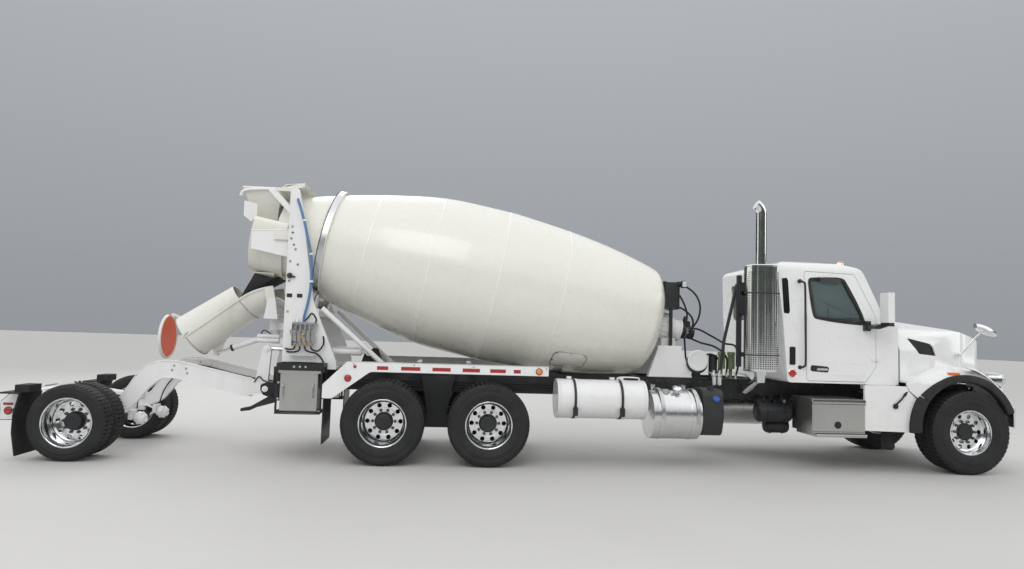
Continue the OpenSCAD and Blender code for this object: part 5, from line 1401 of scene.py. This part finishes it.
def drive_gear():
    """Dresses the drum drive: flange bolts, cooler, hoses, filters, cover and work lamp."""
    sizes = bpy.context.scene.mixer_sizes
    axis = (drum_point(1, 0, 0) - drum_point(0, 0, 0)).normalized()
    heads = Shape()
    bolts(heads, drum_ring(2.516, 0.218, 16), axis, sizes.bolt_radius * 0.8)
    bolts(heads, drum_ring(2.696, 0.185, 10), axis, sizes.bolt_radius * 0.7)
    heads.piece("drive_flange_bolts", "chassis", "nut")
    casing = Shape()
    for ends in zip(drum_ring(2.53, 0.207, 20), drum_ring(2.68, 0.207, 20)):
        casing.tube(ends, 0.007, 6)
    casing.rings([drum_ring(s, r, 40) for s, r in
                  ((2.812, 0.150), (2.815, 0.163), (2.845, 0.163), (2.85, 0.150))])
    casing.piece("drive_casing_ribs", "chassis", "gear_white")
    motor = Shape()
    centre = drum_point(2.86, 0, 0)
    motor.turned(drum_point(2.825, 0, 0), axis,
                 [(0, 0.105), (0.10, 0.105), (0.11, 0.085), (0.20, 0.09), (0.235, 0.08), (0.24, 0.03)], 28)
    motor.block(centre + Vector((0.02, -0.06, 0.05)), centre + Vector((0.14, 0.06, 0.15)), 0.012)
    for y in (-0.035, 0.035):
        motor.turned(centre + Vector((0.07, y, 0.13)), (0.2, 0, 1),
                     [(0, 0.024), (0.05, 0.024), (0.05, 0.019), (0.09, 0.019)], 6)
    motor.piece("drive_motor", "chassis", "plastic")
    core = Shape()
    x0, x1, y0, y1, z0, z1 = 3.225, 3.425, -0.26, 0.26, 2.14, 2.52
    for x in (x0, x1):
        for z in (z0, z1):
            core.box((x - 0.012, y0 - 0.012, z - 0.012), (x + 0.012, y1 + 0.012, z + 0.012), 0.004)
        for y in (y0, y1):
            core.box((x - 0.012, y - 0.012, z0), (x + 0.012, y + 0.012, z1), 0.004)
    for k in range(9):
        r = 0.03 + 0.0165 * k
        core.tube(loop_x(x1 + 0.012, 0, 2.33, r, 36), 0.0025, 6, True)
    core.turned(at(x1 + 0.004, 0, 2.33), (1, 0, 0),
                [(0, 0.175), (0.03, 0.175), (0.03, 0.165), (0.0, 0.165)], 36)
    core.piece("cooler_frame_and_fan", "chassis", "plastic")
    fin = Shape().block((0, -0.235, -0.0012), (0.004, 0.235, 0.0012))
    data = repeated(fin, "line", 42, (0, 0, 0.0086), "tank", place=Matrix.Translation(at(3.2205, 0, 2.152)))
    settle("cooler_fins", data, "chassis", "tank")
    hoses = Shape()
    r = sizes.hose_radius
    routes = [[(3.43, -0.20, 2.47), (3.52, -0.24, 2.47), (3.66, -0.28, 2.36), (3.73, -0.30, 2.20),
               (3.72, -0.28, 2.02), (3.66, -0.22, 1.88), (3.62, -0.10, 1.80)],
              [(3.43, -0.16, 2.18), (3.54, -0.20, 2.12), (3.66, -0.16, 2.02), (3.70, -0.10, 1.90),
               (3.66, -0.04, 1.86)],
              [(3.62, 0.10, 1.78), (3.78, 0.0, 1.86), (3.94, -0.20, 1.76), (4.05, -0.42, 1.66),
               (4.14, -0.60, 1.62), (4.16, -0.66, 1.40), (4.14, -0.60, 1.18)],
              [(3.66, 0.04, 1.74), (3.80, -0.12, 1.66), (3.95, -0.34, 1.60), (4.05, -0.50, 1.46),
               (4.05, -0.50, 1.20)],
              [(3.70, -0.36, 1.42), (3.84, -0.44, 1.50), (3.98, -0.42, 1.40), (3.96, -0.40, 1.20)],
              [(3.43, 0.20, 2.45), (3.60, 0.26, 2.38), (3.74, 0.28, 2.10), (3.70, 0.26, 1.80),
               (3.70, 0.20, 1.45), (3.72, 0.16, 1.18)]]
    for route in routes:
        hoses.bent(route, 7, r, 10)
    hoses.piece("drive_hoses", "chassis", "soft")
    ends = Shape()
    for route in routes:
        for a, b in ((route[0], route[1]), (route[-1], route[-2])):
            way = (at(*b) - at(*a)).normalized()
            ends.turned(at(*a) - way * 0.01, way,
                        [(0, r * 1.5), (0.025, r * 1.5), (0.026, r * 1.2), (0.07, r * 1.2)], 8)
    ends.piece("hose_ends", "chassis", "nut")
    cover = Shape()
    cover.turned(at(3.645, -0.478, 1.405), (0, -1, 0),
                 [(0, 0.148), (0.004, 0.150), (0.012, 0.142), (0.014, 0.125), (0.010, 0.118),
                  (0.012, 0.02)], 40)
    cover.piece("pump_cover", "chassis", "gear_white")
    filters = Shape()
    for x, z in ((3.98, 1.30), (4.12, 1.30)):
        filters.turned(at(x, -0.50, z), (0, 0, 1),
                       [(0, 0.045), (0.01, 0.05), (0.17, 0.05), (0.18, 0.038), (0.19, 0.055),
                        (0.235, 0.055), (0.24, 0.03)], 24)
        filters.box((x - 0.02, -0.50, z - 0.14), (x + 0.02, -0.46, z + 0.02), 0.004)
    filters.piece("oil_filters", "chassis", "green")
    silver = Shape()
    for x in (3.84, 3.92):
        silver.turned(at(x, -0.58, 1.07), (0, 0, 1),
                      [(0, 0.02), (0.012, 0.034), (0.12, 0.034), (0.125, 0.025), (0.13, 0.04),
                       (0.165, 0.04), (0.18, 0.018), (0.21, 0.018)], 20)
        silver.box((x - 0.012, -0.58, 1.22), (x + 0.012, -0.43, 1.25), 0.003)
    silver.piece("air_canisters", "chassis", "chrome")
    work = Shape()
    work.box((3.44, -0.34, 2.44), (3.52, -0.24, 2.54), 0.014)
    work.tube([at(3.40, -0.26, 2.50), at(3.44, -0.30, 2.49)], 0.012, 8)
    work.piece("work_lamp_body", "chassis", "plastic")
    glass = Shape().box((3.45, -0.352, 2.45), (3.51, -0.338, 2.53), 0.005)
    glass.piece("work_lamp_glass", "chassis", "clear_lens")


def rear_gear():
    """Adds the rear hoses, valve block, pedestal bolts, rubber skirt and cabinet frames."""
    sizes = bpy.context.scene.mixer_sizes
    water = Shape()
    water.bent([(-1.935, -0.70, 3.40), (-1.925, -0.775, 3.37), (-1.885, -0.79, 3.27), (-1.83, -0.80, 3.10),
                (-1.772, -0.80, 2.88), (-1.72, -0.80, 2.66), (-1.70, -0.80, 2.45), (-1.705, -0.80, 2.18),
                (-1.735, -0.80, 1.98), (-1.765, -0.80, 1.84), (-1.77, -0.79, 1.74)], 8, 0.0165, 14)
    water.piece("water_hose", "chassis", "blue")
    clips = Shape()
    for x, z in ((-1.83, 3.10), (-1.72, 2.66), (-1.703, 2.30)):
        clips.box((x - 0.012, -0.83, z - 0.012), (x + 0.03, -0.752, z + 0.012), 0.004)
    clips.piece("hose_clips", "chassis", "gear_white")
    heads = Shape()
    for x, z in ((-1.985, 3.02), (-1.975, 2.94), (-1.99, 2.86), (-1.955, 2.78), (-1.93, 2.72),
                 (-1.99, 2.56), (-1.89, 2.52), (-1.99, 2.30), (-1.99, 1.90)):
        for side in (RIGHT, LEFT):
            bolts(heads, [at(x, side * 0.756, z)], (0, side, 0), sizes.bolt_radius)
    heads.piece("pedestal_bolts", "chassis", "nut")
    for side, name in SIDES:
        knob = Shape()
        knob.turned(at(-1.985, side * 0.757, 2.37), (0, side, 0), [(0, 0.035), (0.01, 0.038), (0.03, 0.032),
                                                                 (0.05, 0.018), (0.09, 0.012)], 16)
        knob.box((-2.0, side * 0.765, 2.345), (-1.91, side * 0.79, 2.365), 0.004)
        for x in (-1.975, -1.845):
            knob.box((x - 0.035, side * 0.756, 2.085), (x + 0.035, side * 0.762, 2.135), 0.003)
        knob.piece(f"pedestal_switches_{name}", "chassis", "plastic")
    valve = Shape()
    for k in range(5):
        x = -1.885 + k * 0.058
        valve.box((x, -0.885, 1.52), (x + 0.05, -0.757, 1.66), 0.006)
        valve.box((x + 0.010, -0.905, 1.60), (x + 0.040, -0.88, 1.64), 0.004)
        valve.turned(at(x + 0.025, -0.82, 1.66), (0, 0, 1),
                     [(0, 0.02), (0.03, 0.02), (0.032, 0.014), (0.075, 0.014)], 12)
        valve.turned(at(x + 0.025, -0.82, 1.52), (0, 0, -1),
                     [(0, 0.018), (0.02, 0.018), (0.022, 0.012), (0.06, 0.012)], 8)
    valve.box((-1.90, -0.87, 1.735), (-1.585, -0.757, 1.765), 0.006)
    valve.box((-1.90, -0.865, 1.75), (-1.895, -0.757, 1.45), 0.002)
    valve.piece("valve_block", "chassis", "nut")
    brass = Shape()
    brass.turned(at(-1.755, -0.905, 1.585), (0, -1, 0), [(0, 0.024), (0.02, 0.024), (0.022, 0.018)], 20)
    for k in range(4):
        brass.turned(at(-1.86 + 0.07 * k, -0.83, 1.47), (0, -1, 0),
                     [(0, 0.016), (0.035, 0.016), (0.037, 0.01)], 6)
    brass.piece("valve_gauge", "chassis", "brass")
    shelf = Shape()
    shelf.plate([at(-1.93, -0.757, 1.25), at(-1.60, -0.757, 1.25), at(-1.60, -0.757, 1.34),
                 at(-1.93, -0.757, 1.34)], (0, -0.010, 0))
    shelf.box((-1.93, -0.88, 1.335), (-1.60, -0.757, 1.345), 0.002)
    for x in (-1.86, -1.665):
        bolts(shelf, [at(x, -0.767, 1.29)], (0, -1, 0), 0.014)
    shelf.piece("valve_shelf", "chassis", "gear_white")
    hoses = Shape()
    routes = [[(-1.86, -0.82, 1.48), (-1.87, -0.83, 1.42), (-1.94, -0.82, 1.41), (-2.02, -0.70, 1.43),
               (-2.05, -0.60, 1.50)],
              [(-1.80, -0.82, 1.48), (-1.80, -0.84, 1.40), (-1.90, -0.83, 1.375), (-2.03, -0.66, 1.40),
               (-2.04, -0.55, 1.52)],
              [(-1.74, -0.82, 1.48), (-1.72, -0.84, 1.41), (-1.66, -0.83, 1.38), (-1.58, -0.80, 1.36),
               (-1.50, -0.77, 1.26), (-1.48, -0.74, 1.10)],
              [(-1.64, -0.82, 1.72), (-1.60, -0.84, 1.80), (-1.66, -0.83, 1.88), (-1.72, -0.79, 1.82),
               (-1.765, -0.79, 1.78)],
              [(-1.66, -0.82, 1.48), (-1.64, -0.84, 1.42), (-1.56, -0.82, 1.40), (-1.50, -0.80, 1.50),
               (-1.54, -0.70, 1.66)]]
    for route in routes:
        hoses.bent(route, 6, 0.011, 10)
    hoses.piece("valve_hoses", "chassis", "soft")
    pipes = Shape()
    for k, x in enumerate((-1.90, -1.88, -1.86)):
        pipes.bent([(x, -0.80 - 0.02 * k, 1.55), (x - 0.03, -0.81 - 0.02 * k, 1.64),
                    (x, -0.79 - 0.02 * k, 1.72), (x + 0.02, -0.77, 1.80)], 6, 0.006, 8)
    pipes.piece("valve_pipes", "chassis", "chrome")
    skirt = Shape()
    top = [(-2.55, 0.30, 2.42), (-2.60, 0.16, 2.42), (-2.61, 0, 2.42), (-2.60, -0.16, 2.42),
           (-2.55, -0.30, 2.42), (-2.42, -0.31, 2.39), (-2.30, -0.30, 2.36), (-2.22, -0.16, 2.35),
           (-2.20, 0, 2.35), (-2.22, 0.16, 2.35), (-2.30, 0.30, 2.36), (-2.42, 0.31, 2.39)]
    low = [(-2.74, 0.22, 2.10), (-2.765, 0.12, 2.09), (-2.77, 0, 2.085), (-2.765, -0.12, 2.09),
           (-2.74, -0.22, 2.10), (-2.66, -0.245, 2.14), (-2.58, -0.24, 2.17), (-2.53, -0.14, 2.18),
           (-2.52, 0, 2.18), (-2.53, 0.14, 2.18), (-2.58, 0.24, 2.17), (-2.66, 0.245, 2.14)]
    rows = []
    for k in range(7):
        u = k / 6
        swell = 1 + 0.05 * math.sin(u * math.pi)
        rows.append([at(a[0] + (b[0] - a[0]) * u, (a[1] + (b[1] - a[1]) * u) * swell,
                        a[2] + (b[2] - a[2]) * u) for a, b in zip(top, low)])
    inner = [[p + Vector((0.0, -0.008 if p.y > 0 else 0.008, 0.002)) for p in row]
             for row in reversed(rows)]
    skirt.rings(rows + inner, caps=False)
    skirt.piece("discharge_skirt", "chassis", "soft")
    for side, name in SIDES:
        plates = Shape()
        for y, outline in ((0.642, ((-2.53, 2.96), (-2.03, 2.99), (-2.03, 2.62), (-2.53, 2.72))),
                           (0.668, ((-2.36, 3.53), (-2.25, 3.53), (-1.99, 3.25), (-1.99, 3.14))),
                           (0.560,
                            ((-2.67, 3.37), (-2.50, 3.33), (-2.50, 3.16), (-2.57, 3.09), (-2.67, 3.17)))):
            plates.plate([at(x, side * y, z) for x, z in outline], (0, side * 0.010, 0))
        plates.tube([at(-2.53, side * 0.648, 2.96), at(-2.03, side * 0.648, 2.99)], 0.012, 10)
        plates.tube([at(-2.30, side * 0.50, 3.53), at(-2.30, side * 0.675, 3.515)], 0.016, 10)
        plates.bent([(-2.73, side * 0.53, 3.44), (-2.715, side * 0.535, 3.49), (-2.64, side * 0.54, 3.525),
                     (-2.40, side * 0.54, 3.545), (-2.05, side * 0.54, 3.56)], 4, 0.020, 12)
        plates.piece(f"hopper_stays_{name}", "chassis", "gear_white")
        outer = side * 1.072
        inner_y = side * 0.762
        frame = Shape()
        for x in (-2.005, -1.455):
            for y in (outer, inner_y):
                frame.box((x - 0.012, y - 0.012, 0.635), (x + 0.012, y + 0.012, 1.24), 0.003)
        for y in (outer, inner_y):
            frame.box((-2.01, y - 0.008, 1.155), (-1.45, y + 0.008, 1.245), 0.003)
            frame.box((-2.01, y - 0.012, 0.625), (-1.45, y + 0.012, 0.648), 0.004)
        for x in (-2.005, -1.455):
            frame.box((x - 0.012, inner_y, 0.625), (x + 0.012, outer, 0.648), 0.003)
            frame.box((x - 0.012, inner_y, 1.20), (x + 0.012, outer, 1.245), 0.003)
        frame.bent([(-2.005, outer, 0.66), (-2.0, outer + side * 0.012, 0.628),
                    (-1.97, outer + side * 0.014, 0.618), (-1.50, outer + side * 0.014, 0.618),
                    (-1.462, outer + side * 0.012, 0.628), (-1.455, outer, 0.66)], 5, 0.008, 8)
        frame.piece(f"cabinet_frame_{name}", "chassis", "frame")
        trim = Shape()
        for x in (-1.80, -1.73, -1.66):
            bolts(trim, [at(x, side * 1.081, 1.20)], (0, side, 0), 0.012)
        for z in (0.80, 1.00):
            bolts(trim, [at(-1.985, side * 1.075, z)], (0, side, 0), 0.012)
        for x in (-1.925, -1.555):
            trim.box((x - 0.012, side * 1.062, 0.80), (x + 0.012, side * 1.082, 0.99), 0.005)
            trim.bent([(x, side * 1.062, 0.97), (x, side * 1.095, 0.96), (x, side * 1.095, 0.83),
                       (x, side * 1.062, 0.82)], 4, 0.006, 8)
        trim.piece(f"cabinet_clasps_{name}", "chassis", "nut")
        tow = Shape()
        tow.plate([at(-2.42, side * 0.86, 0.625), at(-2.40, side * 0.86, 0.66),
                   at(-2.06, side * 0.86, 0.80), at(-1.98, side * 0.86, 0.90), at(-1.98, side * 0.86, 0.82),
                   at(-2.06, side * 0.86, 0.73)], (0, side * 0.05, 0))
        tow.piece(f"rear_hook_{name}", "chassis", "frame")
    ladder = Shape()
    for k in range(6):
        ladder.tube([at(-1.66, 0.80, 1.30 + 0.30 * k), at(-1.66 - 0.03 * k, 1.02, 1.30 + 0.30 * k)], 0.012,
                    10)
    ladder.tube([at(-1.66, 1.02, 1.25), at(-1.82, 1.02, 2.95)], 0.014, 10)
    ladder.tube([at(-1.66, 0.80, 1.25), at(-1.82, 0.80, 2.95)], 0.014, 10)
    for z in (1.45, 2.2, 2.9):
        ladder.tube([at(-1.66 - 0.094 * (z - 1.25), 0.755, z), at(-1.66 - 0.094 * (z - 1.25), 0.81, z)],
                    0.012, 8)
    ladder.piece("rear_ladder", "chassis", "gear_white")


def guard_marks():
    """Lays the red and white tape and the lamps on the wheel guards."""
    for side, name in SIDES:
        y = side * 1.2162
        spans = [(-0.76, -0.62), (-0.46, -0.22), (-0.07, 0.16), (0.31, 0.53), (0.66, 0.86), (0.96, 1.05)]
        # Both tapes glow faintly from their finish, a painted sheen.
        red = Shape()
        for a, b in spans:
            red.box((a, y, 1.197), (b, y + side * 0.0012, 1.243))
        red.piece(f"tape_red_{name}", "chassis", "red_tape_painted_glow", smooth=False)
        white = Shape()
        for (_, b), (c, _) in zip(spans, spans[1:]):
            white.box((b, y, 1.197), (c, y + side * 0.001, 1.243))
        white.piece(f"tape_white_{name}", "chassis", "white_tape_painted_glow", smooth=False)
        lamp(f"guard_lamp_red_{name}", "chassis", at(-1.113, y, 1.085), (0, side, 0), 0.036, "red_lens")
        lamp(f"guard_lamp_small_{name}", "chassis", at(-1.032, y, 1.232), (0, side, 0), 0.016, "red_lens")
        lamp(f"guard_lamp_amber_{name}", "chassis", at(1.287, y, 1.226), (0, side, 0), 0.036, "amber_lens")
        lip = Shape()
        lip.box((-1.13, side * 1.150, 1.283), (1.41, side * 1.216, 1.2925), 0.003)
        lip.piece(f"guard_lip_{name}", "chassis", "gear_white")
        heads = Shape()
        for x in (-1.05, -0.3, 0.45, 1.38):
            bolts(heads, [at(x, y, 1.265)], (0, side, 0), 0.008)
        heads.piece(f"guard_bolts_{name}", "chassis", "nut")


def booster_gear():
    """Adds the trailing axle's flanges, bolts, brake chambers, hoses and rear lamps."""
    sizes = bpy.context.scene.mixer_sizes
    heads = Shape()
    lips = Shape()
    flanges = Shape()
    top = [(-2.46, 0.994), (-3.30, 1.18), (-3.46, 1.205), (-3.60, 1.205), (-3.72, 1.18), (-3.85, 1.09),
           (-3.96, 0.955), (-4.05, 0.80), (-4.13, 0.70), (-4.22, 0.66), (-4.36, 0.64)]
    low = [(-2.46, 0.789), (-2.54, 0.778), (-3.30, 0.955), (-3.50, 0.99), (-3.62, 0.965), (-3.74, 0.87),
           (-3.85, 0.73), (-3.95, 0.61), (-4.05, 0.55), (-4.15, 0.52), (-4.36, 0.52)]
    for side in (RIGHT, LEFT):
        for x, z in ((-3.455, 1.145), (-3.475, 1.085), (-3.30, 1.11), (-3.285, 1.05)):
            bolts(heads, [at(x, side * 0.531, z)], (0, side, 0), sizes.bolt_radius)
            bolts(heads, [at(x, side * 0.469, z)], (0, -side, 0), sizes.bolt_radius)
        flanges.turned(at(-2.27, side * 0.53, 0.87), (0, side, 0),
                       [(0, 0.075), (0.012, 0.075), (0.014, 0.04), (0.04, 0.04), (0.044, 0.03)], 28)
        flanges.turned(at(-2.28, side * 0.53, 1.40), (0, side, 0),
                       [(0, 0.045), (0.012, 0.045), (0.014, 0.02), (0.03, 0.02)], 24)
        for line in (top, low):
            path = curve([at(x, 0, z) for x, z in line], 4)
            for face in (0.530, 0.470):
                push = 0.009 if face > 0.5 else -0.009
                rows = []
                for p in path:
                    rows.append([Vector((p.x, side * face, p.z - 0.007)),
                                 Vector((p.x, side * (face + push), p.z - 0.007)),
                                 Vector((p.x, side * (face + push), p.z + 0.007)),
                                 Vector((p.x, side * face, p.z + 0.007))])
                lips.rings(rows)
    lips.piece("booster_arm_lips", "booster", "gear_white")
    heads.piece("booster_bolts", "booster", "nut")
    flanges.piece("booster_pin_caps", "booster", "gear_white")
    chambers = Shape()
    for side in (RIGHT, LEFT):
        mid = at(-3.96, side * 0.36, 0.46)
        way = Vector((1, 0, -0.42)).normalized()
        chambers.turned(mid, way, [(0, 0.03), (0.01, 0.07), (0.05, 0.078), (0.058, 0.088), (0.075, 0.088),
                                   (0.082, 0.078), (0.12, 0.07), (0.135, 0.03), (0.15, 0.025)], 28)
        chambers.tube([mid, mid - way * 0.18, at(-4.30, side * 0.36, 0.50)], 0.014, 10)
        chambers.box((-4.02, side * 0.30, 0.42), (-3.97, side * 0.47, 0.54), 0.006)
        chambers.box((-4.40, side * 0.33, 0.44), (-4.28, side * 0.39, 0.56), 0.01)
    chambers.piece("booster_brakes", "booster", "gear_white")
    hoses = Shape()
    for side in (RIGHT, LEFT):
        hoses.bent([(-2.38, side * 0.455, 0.90), (-2.60, side * 0.455, 0.92), (-3.0, side * 0.455, 1.00),
                    (-3.45, side * 0.455, 1.10), (-3.70, side * 0.455, 1.03), (-3.84, side * 0.44, 0.88),
                    (-3.92, side * 0.40, 0.72), (-3.95, side * 0.37, 0.56)], 7, 0.009, 8)
        hoses.bent([(-2.42, side * 0.538, 0.955), (-2.36, side * 0.545, 1.03), (-2.30, side * 0.54, 0.98),
                    (-2.18, side * 0.52, 0.93)], 6, 0.008, 8)
    hoses.piece("booster_hoses", "booster", "soft")
    for side, name in SIDES:
        for k, y in enumerate((0.62, 0.74)):
            lamp(f"tail_lamp_{k}_{name}", "booster", at(-5.236, side * y, 0.76), (-1, 0, 0), 0.045,
                 "red_lens")
        lamp(f"side_tail_lamp_{name}", "booster", at(-5.235, side * 0.918, 0.565), (0, side, 0), 0.04,
             "red_lens")
        # The tape glows faintly from its finish, a painted sheen.
        mark = Shape().box((-5.30, side * 0.918, 0.632), (-5.18, side * 0.922, 0.662), 0.002)
        mark.piece(f"lamp_plate_tape_{name}", "booster", "red_tape_painted_glow")
        face = Shape().plate([at(-5.325, side * 0.9182, 0.458), at(-5.10, side * 0.9182, 0.458),
                              at(-5.10, side * 0.9182, 0.72), at(-5.16, side * 0.9182, 0.785),
                              at(-5.21, side * 0.9182, 0.785), at(-5.325, side * 0.9182, 0.675)],
                             (0, side * 0.0012, 0))
        face.piece(f"lamp_plate_face_{name}", "booster", "gear_white", smooth=False)
        ribs = Shape()
        for k in range(5):
            ribs.box((-5.062, side * (0.76 + 0.09 * k), 0.32), (-5.05, side * (0.775 + 0.09 * k), 0.62),
                     0.003)
        ribs.piece(f"flap_ribs_{name}", "booster", "soft")
    bar = Shape()
    bar.box((-5.232, -0.56, 0.715), (-5.20, 0.56, 0.805), 0.01)
    bar.piece("lamp_bar", "booster", "gear_white")
    plate = Shape().box((-5.238, -0.155, 0.70), (-5.233, 0.155, 0.82), 0.003)
    plate.piece("number_plate_blank_rear", "booster", "stainless")


def chute_gear():
    """Adds the rims, glands, swivel plate and hose of the chutes."""
    rims = Shape()
    for side in (RIGHT, LEFT):
        rims.tube([chute_point(0.10, side * 0.313, -0.004), chute_point(0.88, side * 0.313, -0.004)], 0.012,
                  10)
        for u in (0.02, 0.87):
            arc = [chute_point(u, 0.3085 * math.cos(a), 0.3085 * math.sin(a)) for a in
                   (math.pi + math.pi * k / 20 for k in range(21))]
            rims.tube(arc, 0.0075, 8)
    rims.piece("main_chute_rims", "main_chute", "chute")
    dish = Shape()
    pin = chute_point(-0.03, 0, 0.40)
    centre = Vector((pin.x - 0.048, 0, pin.z - 0.306))
    dish.rings([[centre + Vector((x, r * math.cos(a), r * math.sin(a))) for a in turns(64)]
                for x, r in ((-0.014, 0.250), (-0.020, 0.262), (-0.022, 0.298), (-0.016, 0.3045),
                             (0.012, 0.3045), (0.018, 0.298), (0.018, 0.284), (0.008, 0.280))], closed=True)
    dish.piece("flap_rim", "end_flap", "chute")
    swivel = Shape()
    for z, r in ((1.50, 0.032), (1.56, 0.028)):
        swivel.tube([at(-2.52, -0.10, z), at(-2.22, -0.105, z)], r, 16)
    swivel.turned(at(-2.30, 0, 1.845), (0, 0, 1), [(0, 0.09), (0.010, 0.09), (0.012, 0.06), (0.018, 0.06)],
                  32)
    for a in turns(8):
        swivel.turned(at(-2.30 + 0.075 * math.cos(a), 0.075 * math.sin(a), 1.852), (0, 0, 1),
                      [(0, 0.009), (0.008, 0.009), (0.009, 0.006)], 6)
    swivel.piece("swivel_gear", "chute_swivel", "gear_white")
    ends = Shape()
    way = Vector((-0.937, 0, -0.348)).normalized()
    start = at(-2.40, 0, 1.56)
    ends.turned(start + way * 0.50, way, [(0, 0.046), (0.03, 0.046), (0.034, 0.03)], 24)
    ends.turned(start + way * 0.075, way, [(0, 0.046), (0.02, 0.046)], 24)
    ends.piece("lift_glands", "chute_lift_barrel", "plastic")
    hoses = Shape()
    hoses.tube(curve([start + way * 0.12 + Vector((0, 0, 0.04)),
                      start + way * 0.06 + Vector((0, -0.06, 0.10)), at(-2.36, -0.10, 1.60),
                      at(-2.30, -0.08, 1.52)], 6), 0.008, 8)
    hoses.piece("lift_hose", "chute_lift_barrel", "soft")


def under_gear():
    """Fits brake pots, air tanks, splash flaps, air lines and frame bolts below the truck."""
    sizes = bpy.context.scene.mixer_sizes
    for side, name in SIDES:
        head = Shape()
        head.turned((0, 0, 0), (0, side, 0),
                    [(0, sizes.bolt_radius * 1.35), (0.004, sizes.bolt_radius * 1.35),
                     (0.004, sizes.bolt_radius), (0.014, sizes.bolt_radius),
                     (0.016, sizes.bolt_radius * 0.7)], 6)
        data = repeated(head, "line", 26, (0.152, 0, 0), "bolt", 2, (0, 0, -0.16),
                        Matrix.Translation(at(2.62, side * 0.4305, 1.10)))
        settle(f"rail_bolts_{name}", data, "chassis", "bolt")
    pots = Shape()
    for x in (0.67, -0.67):
        for side in (RIGHT, LEFT):
            mid = at(x + 0.20, side * 0.36, 0.66)
            pots.turned(mid, (0.35, 0, 1),
                        [(0, 0.03), (0.012, 0.075), (0.06, 0.08), (0.068, 0.09), (0.082, 0.09),
                         (0.09, 0.08), (0.15, 0.078), (0.165, 0.04)], 24)
            pots.tube([mid, at(x + 0.10, side * 0.36, 0.60), at(x + 0.02, side * 0.36, 0.56)], 0.016, 10)
    for side in (RIGHT, LEFT):
        pots.turned(at(2.0, side * 0.16, 0.78), (1, 0, 0),
                    [(0, 0.05), (0.02, 0.10), (0.05, 0.12), (0.60, 0.12), (0.63, 0.10), (0.65, 0.05)], 28)
    for x, y, z, long, r in ((4.42, -0.62, 0.72, 0.52, 0.135), (4.60, -0.50, 0.52, 0.36, 0.10)):
        pots.turned(at(x, y, z), (1, 0, 0), [(0, r * 0.4), (0.02, r * 0.85), (0.05, r), (long - 0.05, r),
                                             (long - 0.02, r * 0.85), (long, r * 0.4)], 32)
        for k in (0.25, 0.75):
            pots.box((x + long * k - 0.02, y - 0.01, z + r - 0.01), (x + long * k + 0.02, -0.43, 0.93),
                     0.004)
            pots.tube(loop_x(x + long * k, y, z, r + 0.004, 32), 0.006, 6, True)
    pots.piece("brake_pots_and_air_tanks", "chassis", "frame")
    splash = Shape()
    for side in (RIGHT, LEFT):
        splash.plate([at(x, side * 0.905, z)
                      for x, z in ((6.09, 0.30), (6.13, 0.27), (6.26, 0.27), (6.29, 0.30), (6.29, 0.93),
                                   (6.09, 0.93))], (0, side * 0.008, 0))
        splash.tube([at(6.19, side * 0.42, 0.90), at(6.19, side * 0.92, 0.90)], 0.015, 10)
    splash.piece("splash_flaps", "chassis", "soft")
    lines = Shape()
    for side in (RIGHT, LEFT):
        for k in range(3):
            lines.bent([(-1.9, side * 0.445, 1.02 - 0.035 * k), (0.0, side * 0.445, 1.02 - 0.035 * k),
                        (2.4, side * 0.445, 1.01 - 0.035 * k), (2.6, side * 0.445, 1.0 - 0.035 * k)], 3,
                       0.008, 6)
    lines.piece("air_lines", "chassis", "plastic")


class MIXER_PT_panel(bpy.types.Panel):
    """Shows the dressing's sizes and the buttons of its making steps in the sidebar."""

    bl_label = "Concrete mixer truck"
    bl_idname = "MIXER_PT_panel"
    bl_space_type = "VIEW_3D"
    bl_region_type = "UI"
    bl_category = "Mixer"

    def draw(self, context):
        sizes = context.scene.mixer_sizes
        for name in sizes.bl_rna.properties.keys():
            if name not in ("rna_type", "name"):
                self.layout.prop(sizes, name)
        for kind in OPERATORS:
            self.layout.operator(kind.bl_idname)


def operator(make, label):
    """Wraps a making function in an operator of the same name."""
    def execute(self, context):
        make()
        return {"FINISHED"}

    facts = {"bl_idname": f"mixer.{make.__name__}", "bl_label": label, "bl_description": make.__doc__[:-1],
             "execute": execute}
    return type(f"MIXER_OT_{make.__name__}", (bpy.types.Operator,), facts)


OPERATORS = [operator(make, label) for make, label in (
    (stage, "Floor, lamps and camera"),
    (finishes, "Finishes of the packed parts"),
    (tyres, "Tyres"),
    (wheels, "Rims and hubs"),
    (cab_trim, "Cab trim"),
    (hood_trim, "Hood trim"),
    (exhaust, "Exhaust shield"),
    (side_gear, "Tanks and step box"),
    (drum, "Drum"),
    (drive_gear, "Drum drive and hoses"),
    (rear_gear, "Rear pedestal gear"),
    (guard_marks, "Guard tape and lamps"),
    (booster_gear, "Trailing axle gear"),
    (chute_gear, "Chute gear"),
    (under_gear, "Underside and frame bolts"),
)]


def register():
    for kind in (TruckSizes, *OPERATORS, MIXER_PT_panel):
        bpy.utils.register_class(kind)
    bpy.types.Scene.mixer_sizes = PointerProperty(type=TruckSizes)


def unregister():
    del bpy.types.Scene.mixer_sizes
    for kind in reversed((TruckSizes, *OPERATORS, MIXER_PT_panel)):
        bpy.utils.unregister_class(kind)


def main():
    register()
    for kind in OPERATORS:
        group, name = kind.bl_idname.split(".")
        getattr(getattr(bpy.ops, group), name)()


if __name__ == "__main__":
    main()
